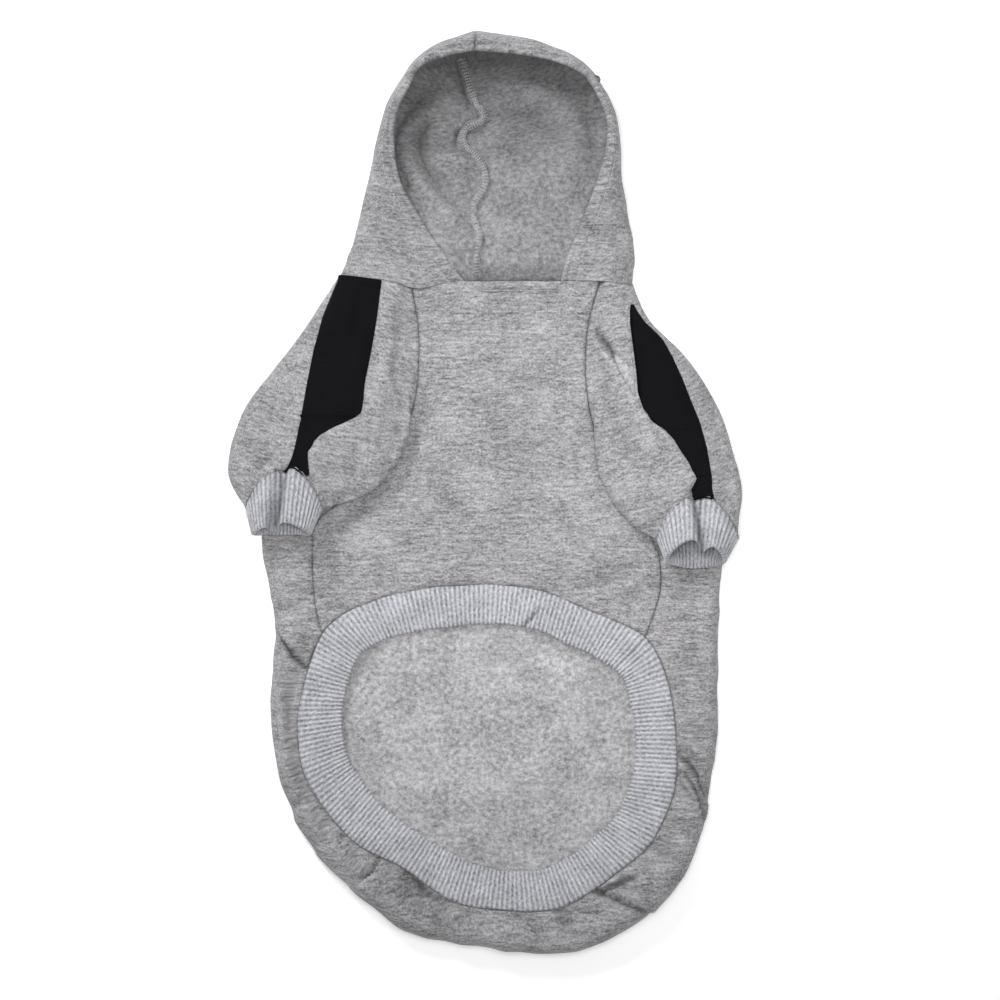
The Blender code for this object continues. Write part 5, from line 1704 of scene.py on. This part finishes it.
def build_topstitch(side, grid, normal, across):
    """The hem stitches round the hood's mouth."""
    path = []
    for i, want in enumerate(hood_hem_at(side, grid.shape[0])):
        j = int(np.searchsorted(across[i], want))
        path.append((Vector(grid[i, j]), Vector(normal[i, j])))
    marks, gone, n = [], 0.0, 0
    for (a, up), (b, _) in zip(path, path[1:]):
        gone += (b - a).length
        if gone > TOPSTITCH_PITCH * n:
            n += 1
            marks.append((a + up * 0.1, b - a, up))
    add_stitches("hood_%s_topstitch" % side, marks, TOPSTITCH_LONG, THREAD_HALF)


# ---------------------------------------------------------------- stage

LAMPS = {
    "columns": ("name", "place", "aim", "size", "spread", "power"),
    "rows": (("overhead", (0.035, 0.02, 0.9), (0.035, 0.02, 0.0), 0.4, 48.0, 0.52),
             ("key", (-0.8, 1.32, 1.2), (0.0, 0.0, 0.0), 0.6, 180.0, 22.0)),
}


# The camera stands where the photo was taken from, in metres, straight above the garment.
CAMERA_PLACE = (8.48 * MM, -4.0 * MM, 4.995)
CAMERA_LENS = 314.0
CAMERA_SENSOR = 36.0
BOARD_GLOW = 0.3      # the board is lit from behind
STUDIO_LIGHT = 0.45


def build_stage():
    """Pale table, soft overhead light, and a camera that looks straight down."""
    scene = bpy.context.scene
    bm = bmesh.new()
    bmesh.ops.create_grid(bm, x_segments=1, y_segments=1, size=4.0)
    bmesh.ops.translate(bm, verts=bm.verts, vec=(0, 0, -0.0004))
    paper = bpy.data.materials.new("matt_white_board")
    paper.use_nodes = True
    shader = paper.node_tree.nodes["Principled BSDF"]
    shader.inputs["Base Color"].default_value = (*linear("#fbfbfb"), 1)
    shader.inputs["Roughness"].default_value = 0.9
    shader.inputs["Specular IOR Level"].default_value = 0.1
    shader.inputs["Emission Color"].default_value = (1, 1, 1, 1)
    shader.inputs["Emission Strength"].default_value = BOARD_GLOW
    table = finish_mesh(bm, "floor", (paper,), smooth=False)
    scene.view_settings.view_transform = "Standard"
    world = scene.world or bpy.data.worlds.new("studio")
    scene.world = world
    world.use_nodes = True
    back = world.node_tree.nodes["Background"]
    back.inputs["Color"].default_value = (1, 1, 1, 1)
    back.inputs["Strength"].default_value = STUDIO_LIGHT
    for name, place, aim, size, spread_angle, power in LAMPS["rows"]:
        data = bpy.data.lights.new(name, "AREA")
        data.shape = "DISK"
        data.size = size
        data.spread = math.radians(spread_angle)
        data.energy = power
        lamp = bpy.data.objects.new(name, data)
        lamp.location = place
        lamp.rotation_euler = (Vector(aim) - Vector(place)).to_track_quat("-Z", "Y").to_euler()
        scene.collection.objects.link(lamp)
    data = bpy.data.cameras.new("camera")
    data.lens = CAMERA_LENS
    data.sensor_width = CAMERA_SENSOR
    data.clip_end = 30
    camera = bpy.data.objects.new("camera", data)
    camera.location = CAMERA_PLACE
    camera.rotation_euler = (0, 0, 0)
    scene.collection.objects.link(camera)
    scene.camera = camera


# ---------------------------------------------------------------- add-on

class HoodieSizes(bpy.types.PropertyGroup):
    fleece_wall: bpy.props.FloatProperty(
        name="Fleece", description="Thickness of the sweatshirt fleece",
        default=0.002, min=0.001, max=0.004, precision=4, unit="LENGTH", subtype="DISTANCE")
    rib_wall: bpy.props.FloatProperty(
        name="Rib", description="Thickness of the folded rib",
        default=0.003, min=0.001, max=0.005, precision=4, unit="LENGTH", subtype="DISTANCE")
    rib_pitch: bpy.props.FloatProperty(
        name="Rib pitch", description="Distance from one rib ridge to the next",
        default=0.0028, min=0.001, max=0.006, precision=4, unit="LENGTH", subtype="DISTANCE")
    rib_raise: bpy.props.FloatProperty(
        name="Rib height", description="Height of a rib ridge above its groove",
        default=0.0006, min=0.0, max=0.002, precision=4, unit="LENGTH", subtype="DISTANCE")
    hem_ribs: bpy.props.IntProperty(
        name="Hem ribs", description="Ridges round the rib hem", default=216, min=60, max=400)
    cuff_ribs: bpy.props.IntProperty(
        name="Cuff ribs", description="Ridges round each cuff", default=44, min=20, max=90)
    tape_wall: bpy.props.FloatProperty(
        name="Tape", description="Thickness of the sleeve tape",
        default=0.0007, min=0.0003, max=0.002, precision=4, unit="LENGTH", subtype="DISTANCE")
    hood_hem: bpy.props.FloatProperty(
        name="Hood hem", description="Depth of the hem turned in round the hood's mouth",
        default=0.009, min=0.004, max=0.02, precision=4, unit="LENGTH", subtype="DISTANCE")
    crease_depth: bpy.props.FloatProperty(
        name="Creases", description="Depth of the creases, as a share of the real one",
        default=1.0, min=0.0, max=2.0, subtype="FACTOR")


class HoodieColours(bpy.types.PropertyGroup):
    fleece: bpy.props.FloatVectorProperty(
        name="Fleece", description="Mean colour of the fleece's face",
        default=linear("#8e8d8f"), size=3, min=0, max=1, subtype="COLOR")
    inside: bpy.props.FloatVectorProperty(
        name="Inside", description="Mean colour of the brushed inside",
        default=linear("#9e9d9f"), size=3, min=0, max=1, subtype="COLOR")
    rib: bpy.props.FloatVectorProperty(
        name="Rib", description="Mean colour of the rib",
        default=linear("#a2a3a8"), size=3, min=0, max=1, subtype="COLOR")
    tape: bpy.props.FloatVectorProperty(
        name="Tape", description="Colour of the sleeve tape",
        default=linear("#050508"), size=3, min=0, max=1, subtype="COLOR")
    thread: bpy.props.FloatVectorProperty(
        name="Thread", description="Colour of the sewing thread",
        default=linear("#b4b4b8"), size=3, min=0, max=1, subtype="COLOR")


class HOODIE_OT_back(bpy.types.Operator):
    """Add the back panel"""
    bl_idname = "hoodie.back"
    bl_label = "Back panel"

    def execute(self, context):
        build_back()
        return {"FINISHED"}


class HOODIE_OT_belly(bpy.types.Operator):
    """Add the belly panel and its turned neck edge"""
    bl_idname = "hoodie.belly"
    bl_label = "Belly panel"

    def execute(self, context):
        build_belly()
        build_neck_turning()
        return {"FINISHED"}


class HOODIE_OT_sleeves(bpy.types.Operator):
    """Add both sleeves with their tapes"""
    bl_idname = "hoodie.sleeves"
    bl_label = "Sleeves"

    def execute(self, context):
        for side in ("left", "right"):
            build_sleeve(side)
        return {"FINISHED"}


class HOODIE_OT_ribs(bpy.types.Operator):
    """Add the rib hem and the rib cuffs"""
    bl_idname = "hoodie.ribs"
    bl_label = "Rib hem and cuffs"

    def execute(self, context):
        build_hem()
        for side in ("left", "right"):
            build_cuff(side)
        return {"FINISHED"}


class HOODIE_OT_hood(bpy.types.Operator):
    """Add the hood, its overlocked back seam and its hem stitches"""
    bl_idname = "hoodie.hood"
    bl_label = "Hood"

    def execute(self, context):
        for side in ("left", "right"):
            build_topstitch(side, *build_hood(side))
        build_hood_seam()
        return {"FINISHED"}


class HOODIE_OT_stage(bpy.types.Operator):
    """Add the table, the lights and the camera"""
    bl_idname = "hoodie.stage"
    bl_label = "Table, lights and camera"

    def execute(self, context):
        build_stage()
        return {"FINISHED"}


OPERATORS = (HOODIE_OT_stage, HOODIE_OT_back, HOODIE_OT_belly, HOODIE_OT_sleeves,
             HOODIE_OT_ribs, HOODIE_OT_hood)


class HOODIE_PT_panel(bpy.types.Panel):
    """Sizes, colours and pieces of the hoodie"""
    bl_idname = "HOODIE_PT_panel"
    bl_label = "Dog hoodie"
    bl_space_type = "VIEW_3D"
    bl_region_type = "UI"
    bl_category = "Hoodie"

    def draw(self, context):
        for group in (context.scene.hoodie_sizes, context.scene.hoodie_colours):
            for key in group.__annotations__:
                self.layout.prop(group, key)
        for operator in OPERATORS:
            self.layout.operator(operator.bl_idname)


CLASSES = (HoodieSizes, HoodieColours, *OPERATORS, HOODIE_PT_panel)


def register():
    for item in CLASSES:
        bpy.utils.register_class(item)
    bpy.types.Scene.hoodie_sizes = bpy.props.PointerProperty(type=HoodieSizes)
    bpy.types.Scene.hoodie_colours = bpy.props.PointerProperty(type=HoodieColours)


def unregister():
    del bpy.types.Scene.hoodie_colours
    del bpy.types.Scene.hoodie_sizes
    for item in reversed(CLASSES):
        bpy.utils.unregister_class(item)


def main():
    register()
    bpy.ops.hoodie.stage()
    bpy.ops.hoodie.back()
    bpy.ops.hoodie.belly()
    bpy.ops.hoodie.sleeves()
    bpy.ops.hoodie.ribs()
    bpy.ops.hoodie.hood()


if __name__ == "__main__":
    main()
